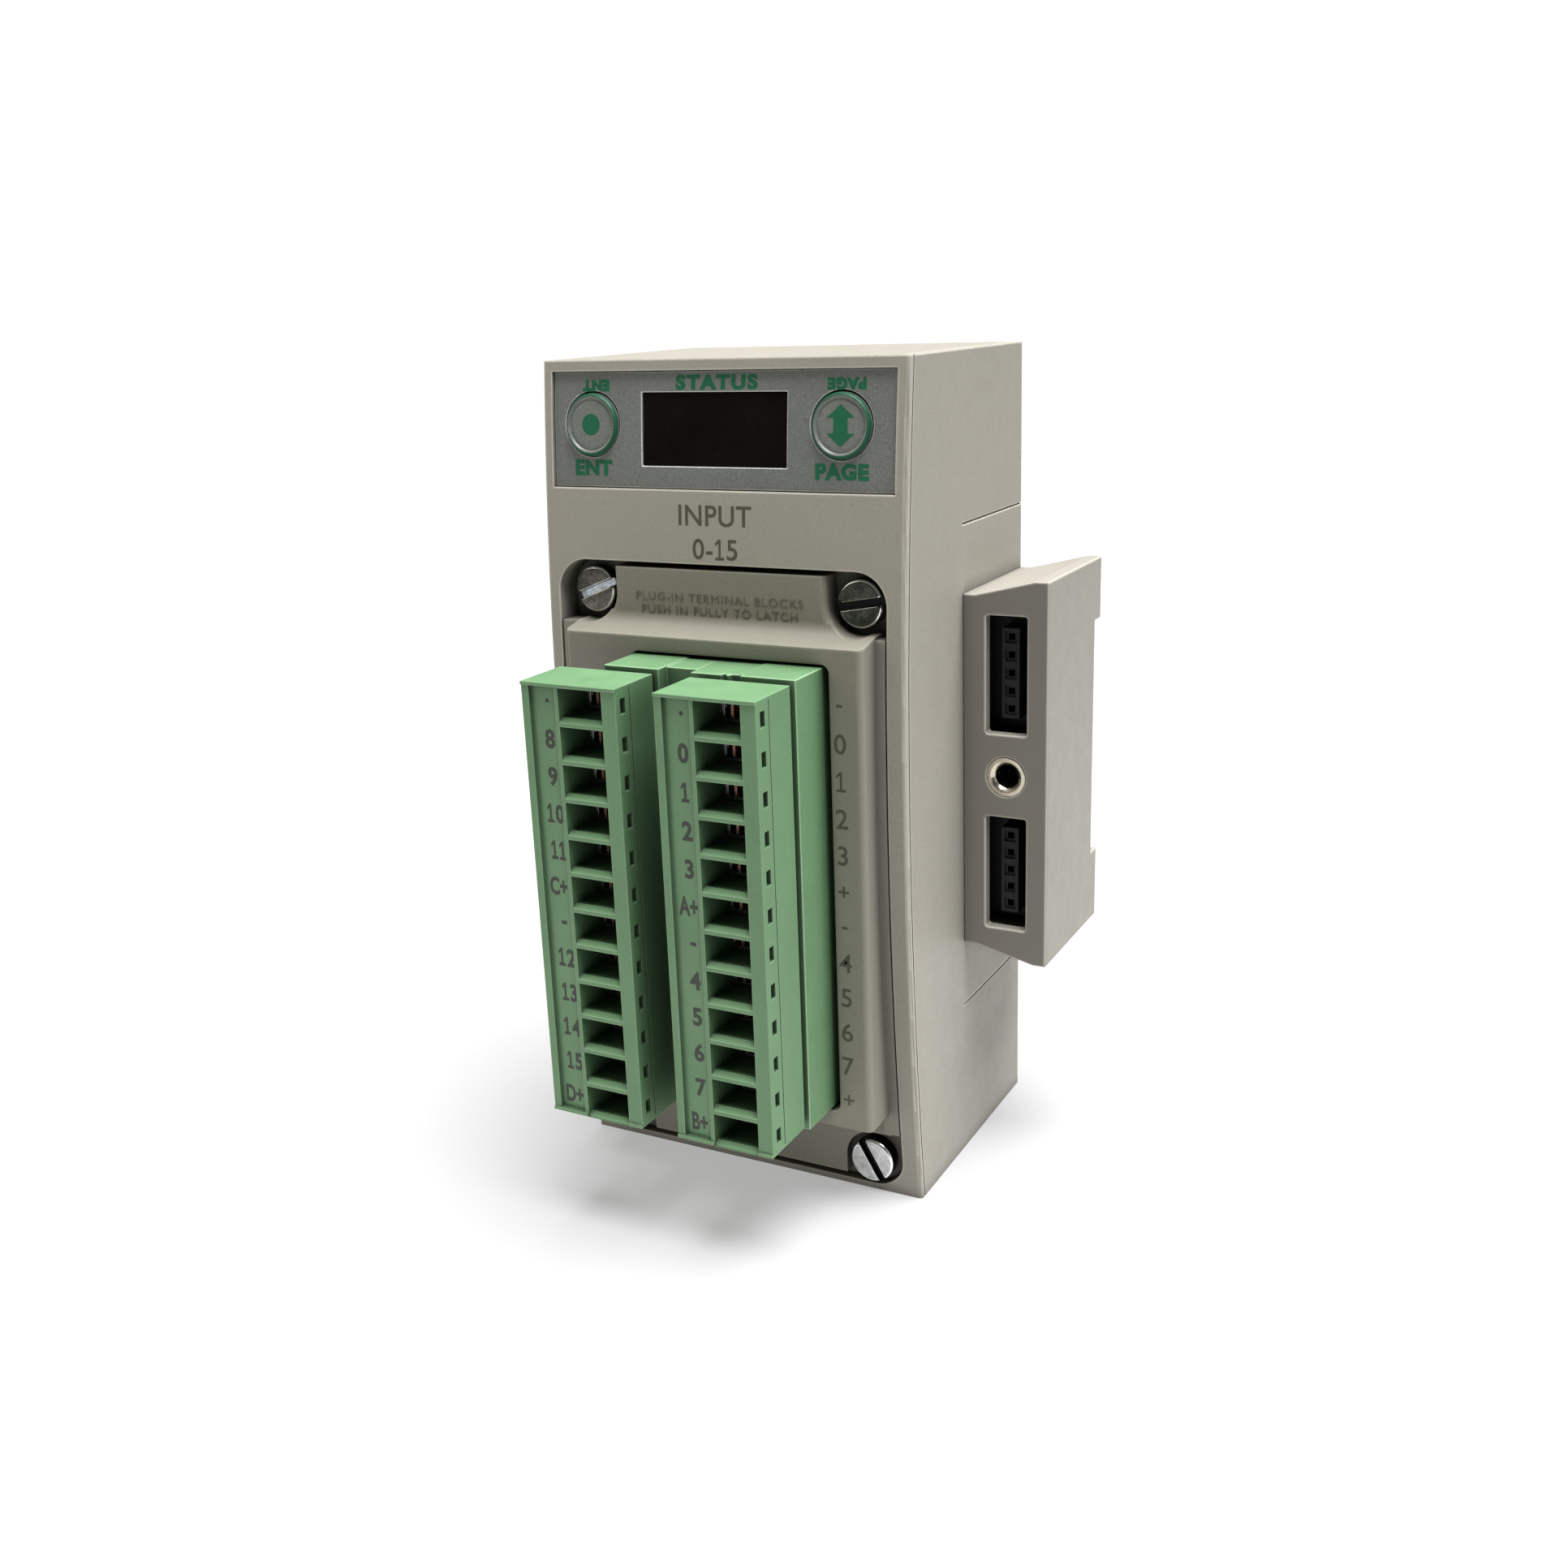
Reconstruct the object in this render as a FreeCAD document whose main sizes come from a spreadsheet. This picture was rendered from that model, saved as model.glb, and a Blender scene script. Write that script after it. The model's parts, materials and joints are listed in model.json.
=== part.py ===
# Input module of a modular controller: a 54.6 mm wide, 116.5 mm high plastic box for a 35 mm rail,
# with a display and two keys at the top of its bowed front, two 12-way pull-off terminal plugs
# below them, and a connector clip on its right side that carries the next module.
#
# Frame: millimetres, +Z up, the front faces -Y, +X is to the right as seen from the front.
# Origin: centre of the housing's bottom face.
import FreeCAD, Part
import math
import operator
import os
import Sketcher

SIZES = {
    # housing
    "housing_width": 54.6,
    "housing_depth": 43.2,
    "housing_height": 116.5,
    "front_radius": 500.0,       # the front is bowed about an axis along X
    "front_crown_z": 59.6,       # height of the front's foremost line, also the rail's centre
    "front_round": 0.55,         # the front's right-hand edge
    "wall": 1.6,
    "rear_wall": 2.0,
    "front_wall_back": 7.6,      # back of the front wall, from the foremost line
    "chamber_front": 5.4,        # the same behind the display, where the wall is thinner
    "chamber_bottom": 91.5,
    "cover_thickness": 1.5,
    "cover_lip": 0.8,            # the front wall laps over the side cover's front edge
    "cover_gap": 0.3,
    "face_x": -0.45,             # centre line of plate, plate screws and display
    "rail_slot_height": 35.4,
    "rail_slot_depth": 2.6,
    # terminal plate
    "recess_left": -25.6,
    "recess_right": 24.6,
    "recess_bottom": 1.0,
    "recess_top": 89.85,
    "recess_depth": 6.0,
    "recess_corner": 4.5,
    "plate_clearance": 0.25,
    "plate_flange_front": 4.6,
    "shoulder_inset": 0.15,      # the plate's side shoulders stand this far behind the bowed front
    "shoulder_drop": 3.2,        # they reach this far below the block
    "block_left": -22.4,
    "block_right": 22.9,
    "block_bottom": 12.9,
    "block_top": 80.6,
    "block_front": -3.5,
    "ledge_rise": 1.0,
    "cove_reach": 1.45,          # the rounded root between the ledge and the band
    "cove_bite": 1.5,            # how far its solid runs on into the band
    "block_round": 0.9,          # the block's upright front edges and the band's ends
    "band_front": 1.0,
    "band_top": 89.1,
    "foot_front": 3.1,
    "foot_bottom": 2.0,
    "block_wall": 1.8,
    "port_left": -11.55,
    "port_right": 18.2,
    "port_bottom": 15.3,
    "port_top": 78.5,
    "port_corner": 1.1,
    "plate_screw_span": 40.9,
    "plate_screw_low": 5.0,
    "plate_screw_high": 85.4,
    "plate_screw_pocket": 4.2,
    "screw_head_radius": 3.25,
    "screw_head_height": 2.2,
    "screw_shank_radius": 1.75,
    "screw_length": 6.6,
    # terminals
    "pole_pitch": 5.08,
    "pole_middle": 47.14,        # height of the middle of the 12 poles
    "shroud_middle": 47.0,
    "plug_right_x": 16.91,
    "plug_spacing": 20.0,
    "plug_width": 14.4,
    "plug_front": -21.1,
    "plug_rear": -11.9,
    "end_plate": 0.45,
    "wire_left": 8.75,
    "wire_right": 2.15,
    "wire_height": 3.95,
    "wire_rear": -12.6,
    "wire_taper": 0.9,           # the openings' left walls lean in this much
    "clamp_middle": -14.0,
    "tongue_rear": -2.6,
    "shroud_width": 8.4,
    "shroud_front": -10.9,
    "shroud_wall": 0.85,
    "shroud_floor": -1.3,
    "shroud_height": 62.2,
    "board_front": 1.1,
    "board_thickness": 1.6,
    "pin_size": 1.0,
    # display and keys
    "overlay_left": -26.0,
    "overlay_right": 25.6,
    "overlay_bottom": 99.6,
    "overlay_top": 115.0,
    "overlay_depth": 0.9,
    "overlay_thickness": 0.45,
    "window_left": -11.8,
    "window_right": 10.1,
    "window_bottom": 102.6,
    "window_top": 112.2,
    "key_radius": 4.2,
    "key_z": 108.1,
    "select_key_x": -19.7,
    "page_key_x": 17.9,
    # bus clip and the bay that takes the neighbour's clip
    "clip_width": 12.3,
    "clip_front": -1.7,
    "clip_root_bottom": 33.25,
    "clip_root_top": 84.2,
    "clip_flare": 2.1,
    "clip_root_width": 1.8,
    "clip_edge_width": 1.9,
    "clip_wall": 1.6,
    "socket_x": 33.6,
    "socket_window_width": 5.9,
    "socket_window_height": 16.6,
    "socket_high_z": 73.1,
    "socket_low_z": 44.5,
    "socket_pitch": 2.54,
    "socket_recess": 1.8,
    "insert_z": 58.75,
    "insert_outer_radius": 2.8,
    "insert_thread_radius": 1.65,
    "insert_length": 8.0,
    "bay_clearance": 0.35,
    # boards inside
    "main_board_front": 15.0,
    "display_board_front": 10.8,
    "clip_board_front": 30.2,
}

doc = FreeCAD.newDocument("InputModule")
sheet = doc.addObject("Spreadsheet::Sheet", "Sizes")
for row, (alias, number) in enumerate(SIZES.items(), start=1):
    sheet.set(f"A{row}", alias.replace("_", " "))
    sheet.set(f"B{row}", str(number))
    sheet.setAlias(f"B{row}", alias)
doc.recompute()


OPERATIONS = {
    "+": operator.add,
    "-": operator.sub,
    "*": operator.mul,
    "/": operator.truediv,
}


class Size:
    """A length: its number, and the expression over the sheet that gives it."""

    def __init__(self, number, text=None):
        self.number = float(number)
        self.text = text or f"({number})"

    def _with(self, other, sign, swap=False):
        first = self
        second = other if isinstance(other, Size) else Size(other)
        if swap:
            first, second = second, first
        number = OPERATIONS[sign](first.number, second.number)
        return Size(number, f"({first.text} {sign} {second.text})")

    def __add__(self, other):
        return self._with(other, "+")

    def __radd__(self, other):
        return self._with(other, "+", swap=True)

    def __sub__(self, other):
        return self._with(other, "-")

    def __rsub__(self, other):
        return self._with(other, "-", swap=True)

    def __mul__(self, other):
        return self._with(other, "*")

    def __rmul__(self, other):
        return self._with(other, "*", swap=True)

    def __truediv__(self, other):
        return self._with(other, "/")

    def __neg__(self):
        return Size(-self.number, f"(-{self.text})")

    def root(self):
        return Size(math.sqrt(self.number), f"sqrt({self.text})")


def size(alias):
    """The sheet's value of this name."""
    return Size(sheet.get(alias), f"Sizes.{alias}")


WIDTH = size("housing_width")
HEIGHT = size("housing_height")
LEFT = WIDTH * -0.5
RIGHT = WIDTH * 0.5
FRONT = size("housing_depth") * -0.5
BACK = size("housing_depth") * 0.5
WALL = size("wall")
COVER_INNER = RIGHT - size("cover_thickness")
FACE_X = size("face_x")
PITCH = size("pole_pitch")
POLES = 12
FIRST_POLE = size("pole_middle") + PITCH * 5.5
POLE_BAND = PITCH * 6
BOARD = size("board_thickness")


def depth(alias):
    """A depth behind the housing's foremost line, as a place along Y."""
    return FRONT + size(alias)


def front_y(height, inset=0.0):
    """Y of the bowed front at a height, or of the surface this far inside it."""
    radius = size("front_radius")
    inner = radius - inset
    rise = height - size("front_crown_z")
    return FRONT + radius - (inner * inner - rise * rise).root()


def front_arc(low, high, inset=0.0):
    """Outline entries (y, z) up the bowed front, from one height to another."""
    return [
        (front_y(low, inset), low),
        (front_y(high, inset), high, size("front_radius") - inset, "clockwise"),
    ]


def front_arc_down(low, high, inset=0.0):
    """The same outline entries taken from the top downwards."""
    return [
        (front_y(high, inset), high),
        (front_y(low, inset), low, size("front_radius") - inset, "counterclockwise"),
    ]


# ---------------------------------------------------------------- sketches and bodies

class Outline:
    """Draws closed outlines in a sketch and pins every corner to the sheet."""

    def __init__(self, sketch):
        self.sketch = sketch

    def constrain(self, kind, *where, length=None):
        if length is None:
            return self.sketch.addConstraint(Sketcher.Constraint(kind, *where))
        index = self.sketch.addConstraint(Sketcher.Constraint(kind, *where, length.number))
        self.sketch.setExpression(f"Constraints[{index}]", length.text)
        return index

    def pin(self, geometry, point, place):
        self.constrain("DistanceX", -1, 1, geometry, point, length=place[0])
        self.constrain("DistanceY", -1, 1, geometry, point, length=place[1])

    def circle(self, centre, radius):
        middle = FreeCAD.Vector(centre[0].number, centre[1].number, 0)
        ring = Part.Circle(middle, FreeCAD.Vector(0, 0, 1), radius.number)
        index = self.sketch.addGeometry(ring, False)
        self.constrain("Radius", index, length=radius)
        self.pin(index, 3, centre)

    def loop(self, corners):
        """Each corner is (u, v), or (u, v, radius, turn) where an arc leads to it."""
        points = [FreeCAD.Vector(c[0].number, c[1].number, 0) for c in corners]
        ends = []
        for number, corner in enumerate(corners):
            start = points[number - 1]
            end = points[number]
            if len(corner) == 2:
                index = self.sketch.addGeometry(Part.LineSegment(start, end), False)
                ends.append((index, 1, 2))
                continue
            radius, turn = corner[2], corner[3]
            half = (end - start) * 0.5
            side = FreeCAD.Vector(-half.y, half.x, 0)
            side.normalize()
            if turn == "clockwise":
                side = side * -1.0
            reach = math.sqrt(max(radius.number ** 2 - half.Length ** 2, 0.0))
            centre = start + half + side * reach
            middle = centre - side * radius.number
            if turn == "counterclockwise":
                index = self.sketch.addGeometry(Part.Arc(start, middle, end), False)
                ends.append((index, 1, 2))
            else:
                index = self.sketch.addGeometry(Part.Arc(end, middle, start), False)
                ends.append((index, 2, 1))
            self.constrain("Radius", index, length=radius)
        for number, (index, _, last) in enumerate(ends):
            following = ends[(number + 1) % len(ends)]
            self.constrain("Coincident", index, last, following[0], following[1])
            self.pin(index, last, corners[number])

    def rectangle(self, left, right, bottom, top):
        self.loop([(left, bottom), (right, bottom), (right, top), (left, top)])

    def rounded(self, left, right, bottom, top, radius):
        turn = "counterclockwise"
        self.loop([
            (left + radius, bottom),
            (right - radius, bottom),
            (right, bottom + radius, radius, turn),
            (right, top - radius),
            (right - radius, top, radius, turn),
            (left + radius, top),
            (left, top - radius, radius, turn),
            (left, bottom + radius),
            (left + radius, bottom, radius, turn),
        ][1:])


class Piece:
    """A PartDesign body that grows by pads and loses pockets along X, Y or Z."""

    NORMALS = {"YZ": 1, "XZ": -1, "XY": 1}

    def __init__(self, label):
        self.body = doc.addObject("PartDesign::Body", label)
        self.body.Label = label
        self.count = 0

    def plane(self, name):
        role = f"{name}_Plane"
        return next(item for item in self.body.Origin.OriginFeatures if item.Role == role)

    def sketch(self, plane, place):
        self.count += 1
        sketch = self.body.newObject("Sketcher::SketchObject", f"{self.body.Name}_sketch{self.count}")
        sketch.AttachmentSupport = [(self.plane(plane), "")]
        sketch.MapMode = "FlatFace"
        offset = place * self.NORMALS[plane]
        sketch.setExpression("AttachmentOffset.Base.z", offset.text)
        return sketch

    def feature(self, kind, plane, low, high, draw):
        """One pad or pocket between two planes, checked by the volume it changes."""
        toward_low = (kind == "Pocket") == (self.NORMALS[plane] == 1)
        sketch = self.sketch(plane, high if toward_low else low)
        draw(Outline(sketch))
        before = 0.0 if self.body.Tip is None else self.body.Shape.Volume
        name = f"{self.body.Name}_{kind.lower()}{self.count}"
        feature = self.body.newObject(f"PartDesign::{kind}", name)
        feature.Profile = sketch
        feature.Type = "Length"
        feature.setExpression("Length", (high - low).text)
        doc.recompute()
        change = self.body.Shape.Volume - before
        if (change > 0) != (kind == "Pad"):
            raise RuntimeError(f"{name} changes nothing: {change:.3f}")
        return feature

    def pad(self, plane, low, high, draw):
        return self.feature("Pad", plane, low, high, draw)

    def pocket(self, plane, low, high, draw):
        return self.feature("Pocket", plane, low, high, draw)

    def repeat_down(self, features, count, pitch):
        """Repeats these features downwards, once per pole."""
        axis = next(item for item in self.body.Origin.OriginFeatures if item.Role == "Z_Axis")
        before = self.body.Shape.Volume
        pattern = self.body.newObject("PartDesign::LinearPattern", f"{self.body.Name}_poles")
        pattern.Originals = features
        pattern.Direction = (axis, [""])
        pattern.Reversed = True
        pattern.setExpression("Length", (pitch * (count - 1)).text)
        pattern.Occurrences = count
        self.body.Tip = pattern
        doc.recompute()
        if self.body.Shape.Volume >= before:
            raise RuntimeError(f"{pattern.Name} repeats nothing")

    def fillet(self, radius, chosen):
        """Rounds the edges of the shape so far that chosen(edge) accepts."""
        names = [f"Edge{i}" for i, edge in enumerate(self.body.Shape.Edges, 1) if chosen(edge)]
        tip = self.body.Tip
        rounded = self.body.newObject("PartDesign::Fillet", f"{self.body.Name}_round{self.count}")
        rounded.Base = (tip, names)
        rounded.setExpression("Radius", radius.text)
        self.body.Tip = rounded
        doc.recompute()
        self.count += 1


NEAR = 0.01      # edges this close to a place count as lying on it
PROUD = 0.1      # overlap of two pads that meet on one plane


def upright_edge(x, y):
    """Accepts straight edges along Z at this x and y."""
    def chosen(edge):
        box = edge.BoundBox
        at_x = abs(box.XMin - x) < NEAR and abs(box.XMax - x) < NEAR
        at_y = abs(box.YMin - y) < NEAR and abs(box.YMax - y) < NEAR
        return at_x and at_y and box.ZLength > 1.0
    return chosen


def band_end_edge(y, low, left, right):
    """Accepts the upright ends of the plate's band at this y, above the height low."""
    def chosen(edge):
        box = edge.BoundBox
        flat = abs(box.YMin - y) < NEAR and abs(box.YMax - y) < NEAR
        end = min(abs(box.XMin - left), abs(box.XMax - right)) < NEAR
        return flat and end and box.ZMin > low and box.XLength < NEAR
    return chosen


# ---------------------------------------------------------------- primitives and booleans

def place(item, x, y, z):
    item.setExpression("Placement.Base.x", x.text)
    item.setExpression("Placement.Base.y", y.text)
    item.setExpression("Placement.Base.z", z.text)
    return item


def block(name, x, y, z):
    """A Part box between pairs of planes."""
    item = doc.addObject("Part::Box", name)
    item.setExpression("Length", (x[1] - x[0]).text)
    item.setExpression("Width", (y[1] - y[0]).text)
    item.setExpression("Height", (z[1] - z[0]).text)
    return place(item, x[0], y[0], z[0])


ALONG = {
    "X": FreeCAD.Rotation(FreeCAD.Vector(0, 0, 1), FreeCAD.Vector(1, 0, 0)),
    "Y": FreeCAD.Rotation(FreeCAD.Vector(0, 0, 1), FreeCAD.Vector(0, 1, 0)),
    "Z": FreeCAD.Rotation(),
}


def rod(name, axis, start, radius, length):
    """A Part cylinder from a point, along +X, +Y, +Z or a given rotation."""
    item = doc.addObject("Part::Cylinder", name)
    item.setExpression("Radius", radius.text)
    item.setExpression("Height", length.text)
    item.Placement.Rotation = ALONG[axis] if isinstance(axis, str) else axis
    return place(item, *start)


def joined(name, items):
    item = doc.addObject("Part::MultiFuse", name)
    item.Shapes = items
    return item


def grouped(name, items):
    item = doc.addObject("Part::Compound", name)
    item.Links = items
    return item


def cut(name, base, tools):
    item = doc.addObject("Part::Cut", name)
    item.Base = base
    item.Tool = tools[0] if len(tools) == 1 else grouped(f"{name}_tools", tools)
    return item


def copies(name, master, spots):
    """A group of separate solids: the master at each spot (x, y, z), or turned about Y as well."""
    doc.recompute()
    solids = []
    for spot in spots:
        solid = master.Shape.copy()
        spin = FreeCAD.Rotation(FreeCAD.Vector(0, 1, 0), spot[3] if len(spot) > 3 else 0.0)
        move = FreeCAD.Placement(FreeCAD.Vector(*spot[:3]), spin)
        solid.transformShape(move.toMatrix(), True)
        solids.append(solid)
    item = doc.addObject("Part::Feature", name)
    item.Shape = Part.makeCompound(solids)
    return item


def pole_spots():
    return [(0, 0, -PITCH.number * pole) for pole in range(POLES)]


def zero():
    return Size(0)


NODES = {}


def keep(name, item):
    item.Label = name
    NODES[name] = item
    return item


# ---------------------------------------------------------------- shared places

PLATE_SCREWS = [
    (FACE_X + size("plate_screw_span") * side, size(height))
    for height in ("plate_screw_low", "plate_screw_high")
    for side in (-0.5, 0.5)
]
BOARD_POSTS = [(Size(x), Size(z)) for x, z in ((-23, 22), (23, 22), (-23, 58.75), (23, 72))]
DISPLAY_POSTS = [(Size(x), Size(z)) for x in (-22.9, 22.9) for z in (95.6, 113.0)]
TERMINAL_POSTS = [(Size(x), Size(z)) for x in (-17.6, 19.7) for z in (18.0, 75.6)]
CLIP_SCREWS = [(Size(14.5), Size(36.9)), (Size(14.5), Size(80.6))]
KEYS = {"select": size("select_key_x"), "page": size("page_key_x")}
SOCKETS = {"upper": size("socket_high_z"), "lower": size("socket_low_z")}

MAIN_BOARD = depth("main_board_front")
DISPLAY_BOARD = depth("display_board_front")
CLIP_BOARD = depth("clip_board_front")
TERMINAL_BOARD = depth("board_front")

SLOT_LOW = size("front_crown_z") - size("rail_slot_height") * 0.5
SLOT_HIGH = size("front_crown_z") + size("rail_slot_height") * 0.5
SLOT_FRONT = BACK - size("rail_slot_depth")

# The keys and their wells stand square to the bowed front, a few degrees off level.
KEY_LEAN = math.asin((SIZES["key_z"] - SIZES["front_crown_z"]) / SIZES["front_radius"])
KEY_INWARD = FreeCAD.Vector(0, math.cos(KEY_LEAN), -math.sin(KEY_LEAN))
KEY_TURN = FreeCAD.Rotation(FreeCAD.Vector(0, 0, 1), KEY_INWARD)


def key_point(x, inward):
    """The point on a key's axis this far behind the bowed front."""
    start = front_y(size("key_z"))
    return (x, start + inward * math.cos(KEY_LEAN), size("key_z") - inward * math.sin(KEY_LEAN))


def clip_profile(root_x, grow):
    """The clip's dovetail section (x, z), made larger all round by grow."""
    low = size("clip_root_bottom") - grow
    high = size("clip_root_top") + grow
    neck = root_x + size("clip_root_width")
    edge = root_x + size("clip_width") + grow
    shoulder = edge - size("clip_edge_width") - grow
    flare = size("clip_flare")
    return [
        (root_x, low),
        (neck, low),
        (shoulder, low - flare),
        (edge, low - flare),
        (edge, high + flare),
        (shoulder, high + flare),
        (neck, high),
        (root_x, high),
    ]


# ---------------------------------------------------------------- housing

def housing_shell():
    """The one-piece box: bowed front, left side, top, bottom and back, open to the right."""
    shell = Piece("housing_body")
    shell.pad("YZ", LEFT, RIGHT, lambda o: o.loop(
        front_arc(zero(), HEIGHT) + [(BACK, HEIGHT), (BACK, zero())]))
    front_right = RIGHT.number
    shell.fillet(size("front_round"), lambda edge: front_edge(edge, front_right))
    below, above = Size(-1), HEIGHT + 1
    shell.pocket("YZ", COVER_INNER, RIGHT, lambda o: o.loop(
        front_arc(below, above, size("cover_lip")) + [(BACK + 1, above), (BACK + 1, below)]))

    chamber, inner = depth("chamber_front"), depth("front_wall_back")
    split, roof = size("chamber_bottom"), HEIGHT - WALL
    rear, behind_slot = BACK - size("rear_wall"), SLOT_FRONT - WALL
    bay_front = size("clip_front") - size("bay_clearance")
    bay_wall = LEFT + size("clip_width") + size("bay_clearance") + WALL
    bay_low = size("clip_root_bottom") - size("clip_flare") - size("bay_clearance") - WALL
    bay_high = size("clip_root_top") + size("clip_flare") + size("bay_clearance") + WALL
    front_room = [(inner, WALL), (inner, split), (chamber, split), (chamber, roof), (rear, roof)]
    shell.pocket("YZ", bay_wall, COVER_INNER, lambda o: o.loop(front_room + [
        (rear, SLOT_HIGH + WALL),
        (behind_slot, SLOT_HIGH + WALL),
        (behind_slot, SLOT_LOW - WALL),
        (rear, SLOT_LOW - WALL),
        (rear, WALL),
    ]))
    shell.pocket("YZ", LEFT + WALL, bay_wall, lambda o: o.loop(front_room + [
        (rear, bay_high),
        (bay_front - WALL, bay_high),
        (bay_front - WALL, bay_low),
        (rear, bay_low),
        (rear, WALL),
    ]))
    bay = clip_profile(LEFT, size("bay_clearance"))
    bay[0] = (LEFT - 1, bay[0][1])
    bay[-1] = (LEFT - 1, bay[-1][1])
    shell.pocket("XZ", bay_front, BACK + 1, lambda o: o.loop(bay))
    shell.pocket("YZ", LEFT - 1, RIGHT + 1, lambda o: o.rectangle(
        SLOT_FRONT, BACK + 1, SLOT_LOW, SLOT_HIGH))

    shell.pocket("XZ", FRONT - 1, depth("recess_depth"), lambda o: o.rounded(
        size("recess_left"), size("recess_right"), size("recess_bottom"), size("recess_top"),
        size("recess_corner")))
    inside = size("block_wall")
    shell.pocket("XZ", depth("recess_depth") - 1, inner + 1, lambda o: o.rectangle(
        size("block_left") + inside, size("block_right") - inside,
        size("block_bottom") + inside, size("block_top") - inside))
    overlay_low, overlay_high = size("overlay_bottom"), size("overlay_top")
    shell.pocket("YZ", size("overlay_left"), size("overlay_right"), lambda o: o.loop(
        front_arc(overlay_low, overlay_high, -1.0)
        + front_arc_down(overlay_low, overlay_high, size("overlay_depth"))))
    shell.pocket("XZ", FRONT - 1, chamber + 1, lambda o: o.rectangle(
        size("window_left"), size("window_right"), size("window_bottom"), size("window_top")))
    return finish_housing(shell, chamber, inner)


def front_edge(edge, x):
    """Accepts the long arc where the bowed front meets the side at this x."""
    box = edge.BoundBox
    at_side = abs(box.XMin - x) < NEAR and abs(box.XMax - x) < NEAR
    return at_side and box.YMin < FRONT.number + PROUD and box.ZLength > HEIGHT.number * 0.9


def finish_housing(shell, chamber, inner):
    """Adds the posts inside the box, then their holes and the wells of the two keys."""
    posts = []
    holes = []
    pilot = Size(1.15)
    for number, (x, z) in enumerate(PLATE_SCREWS):
        posts.append(rod(f"plate_post{number}", "Y", (x, inner - 0.5, z), Size(3.2), Size(5.2)))
        holes.append(rod(f"plate_hole{number}", "Y", (x, inner - 3.0, z),
                         size("screw_shank_radius"), Size(7.0)))
    for number, (x, z) in enumerate(BOARD_POSTS):
        length = MAIN_BOARD - inner + 0.5
        posts.append(rod(f"board_post{number}", "Y", (x, inner - 0.5, z), Size(2.2), length))
        holes.append(rod(f"board_hole{number}", "Y", (x, MAIN_BOARD - 6.0, z), pilot, Size(7.0)))
    for number, (x, z) in enumerate(DISPLAY_POSTS):
        length = DISPLAY_BOARD - chamber + 0.5
        posts.append(rod(f"display_post{number}", "Y", (x, chamber - 0.5, z), Size(1.6), length))
        holes.append(rod(f"display_hole{number}", "Y", (x, DISPLAY_BOARD - 4.5, z),
                         Size(0.9), Size(5.0)))
    for name, x in KEYS.items():
        holes.append(rod(f"{name}_well", KEY_TURN, key_point(x, Size(-1.0)),
                         size("key_radius") + 0.3, Size(3.2)))
        holes.append(rod(f"{name}_bore", KEY_TURN, key_point(x, Size(0.5)), Size(2.1), Size(7.0)))
    for name, z in SOCKETS.items():
        middle = size("socket_x") - WIDTH
        holes.append(block(f"{name}_pin_slot", (middle - 1.1, middle + 1.1),
                           (size("clip_front") - 3.0, size("clip_front") + 1.0),
                           (z - 6.2, z + 6.2)))
    solid = joined("housing_solid", [shell.body] + posts)
    return keep("housing_shell", cut("housing_shell", solid, holes))


def side_cover():
    """The right side: a flat cover behind the front's lip, with two locating ribs inside."""
    cover = Piece("side_cover_body")
    inset = size("cover_lip") + size("cover_gap")
    cover.pad("YZ", COVER_INNER, RIGHT, lambda o: o.loop(
        front_arc(zero(), HEIGHT, inset) + [(BACK, HEIGHT), (BACK, zero())]))
    for low, high in ((WALL + 0.1, WALL + 1.6), (HEIGHT - WALL - 1.6, HEIGHT - WALL - 0.1)):
        cover.pad("YZ", COVER_INNER - 2.0, COVER_INNER, lambda o, low=low, high=high: o.rectangle(
            Size(-7.5), BACK - 4.0, low, high))
    cover.pocket("YZ", COVER_INNER - 3.0, RIGHT + 1, lambda o: o.rectangle(
        SLOT_FRONT, BACK + 1, SLOT_LOW, SLOT_HIGH))
    cover.pocket("YZ", COVER_INNER - 1.0, RIGHT + 1, lambda o: o.rectangle(
        CLIP_BOARD - 0.4, CLIP_BOARD + BOARD + 0.4, Size(37.5), Size(79.9)))
    for height in (23.35, 93.65):
        cover.pocket("YZ", RIGHT - 0.2, RIGHT + 1, lambda o, height=height: o.rectangle(
            size("clip_front"), BACK + 1, Size(height - 0.12), Size(height + 0.12)))
    holes = [rod(f"clip_screw_hole{i}", "X", (COVER_INNER - 1, y, z), Size(1.6), Size(4.0))
             for i, (y, z) in enumerate(CLIP_SCREWS)]
    return keep("side_cover", cut("side_cover", cover.body, holes))


def screw_master(name, head_radius, head_height, shank_radius, length, slot_width):
    """A slotted screw along +Y: its head from 0 to head_height, its shank behind that."""
    head = rod(f"{name}_head", "Y", (zero(), zero(), zero()), head_radius, head_height)
    doc.recompute()
    rim = doc.addObject("Part::Fillet", f"{name}_rim")
    rim.Base = head
    rim.Edges = [(i, 0.45, 0.45) for i, edge in enumerate(head.Shape.Edges, 1)
                 if edge.BoundBox.YMax < NEAR]
    shank = rod(f"{name}_shank", "Y", (zero(), head_height - 0.1, zero()), shank_radius,
                length + 0.1)
    solid = joined(f"{name}_solid", [rim, shank])
    slot = block(f"{name}_slot", (slot_width * -0.5, slot_width * 0.5),
                 (Size(-0.5), head_height * 0.5), (head_radius * -1.2, head_radius * 1.2))
    return cut(f"{name}_master", solid, [slot])


def screws(name, master, places, y, turns=(0.0,)):
    """Identical screws as one group of separate solids, each with its slot at its own turn."""
    spots = [(x.number, y.number, z.number, turns[i % len(turns)])
             for i, (x, z) in enumerate(places)]
    return keep(name, copies(name, master, spots))


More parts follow.
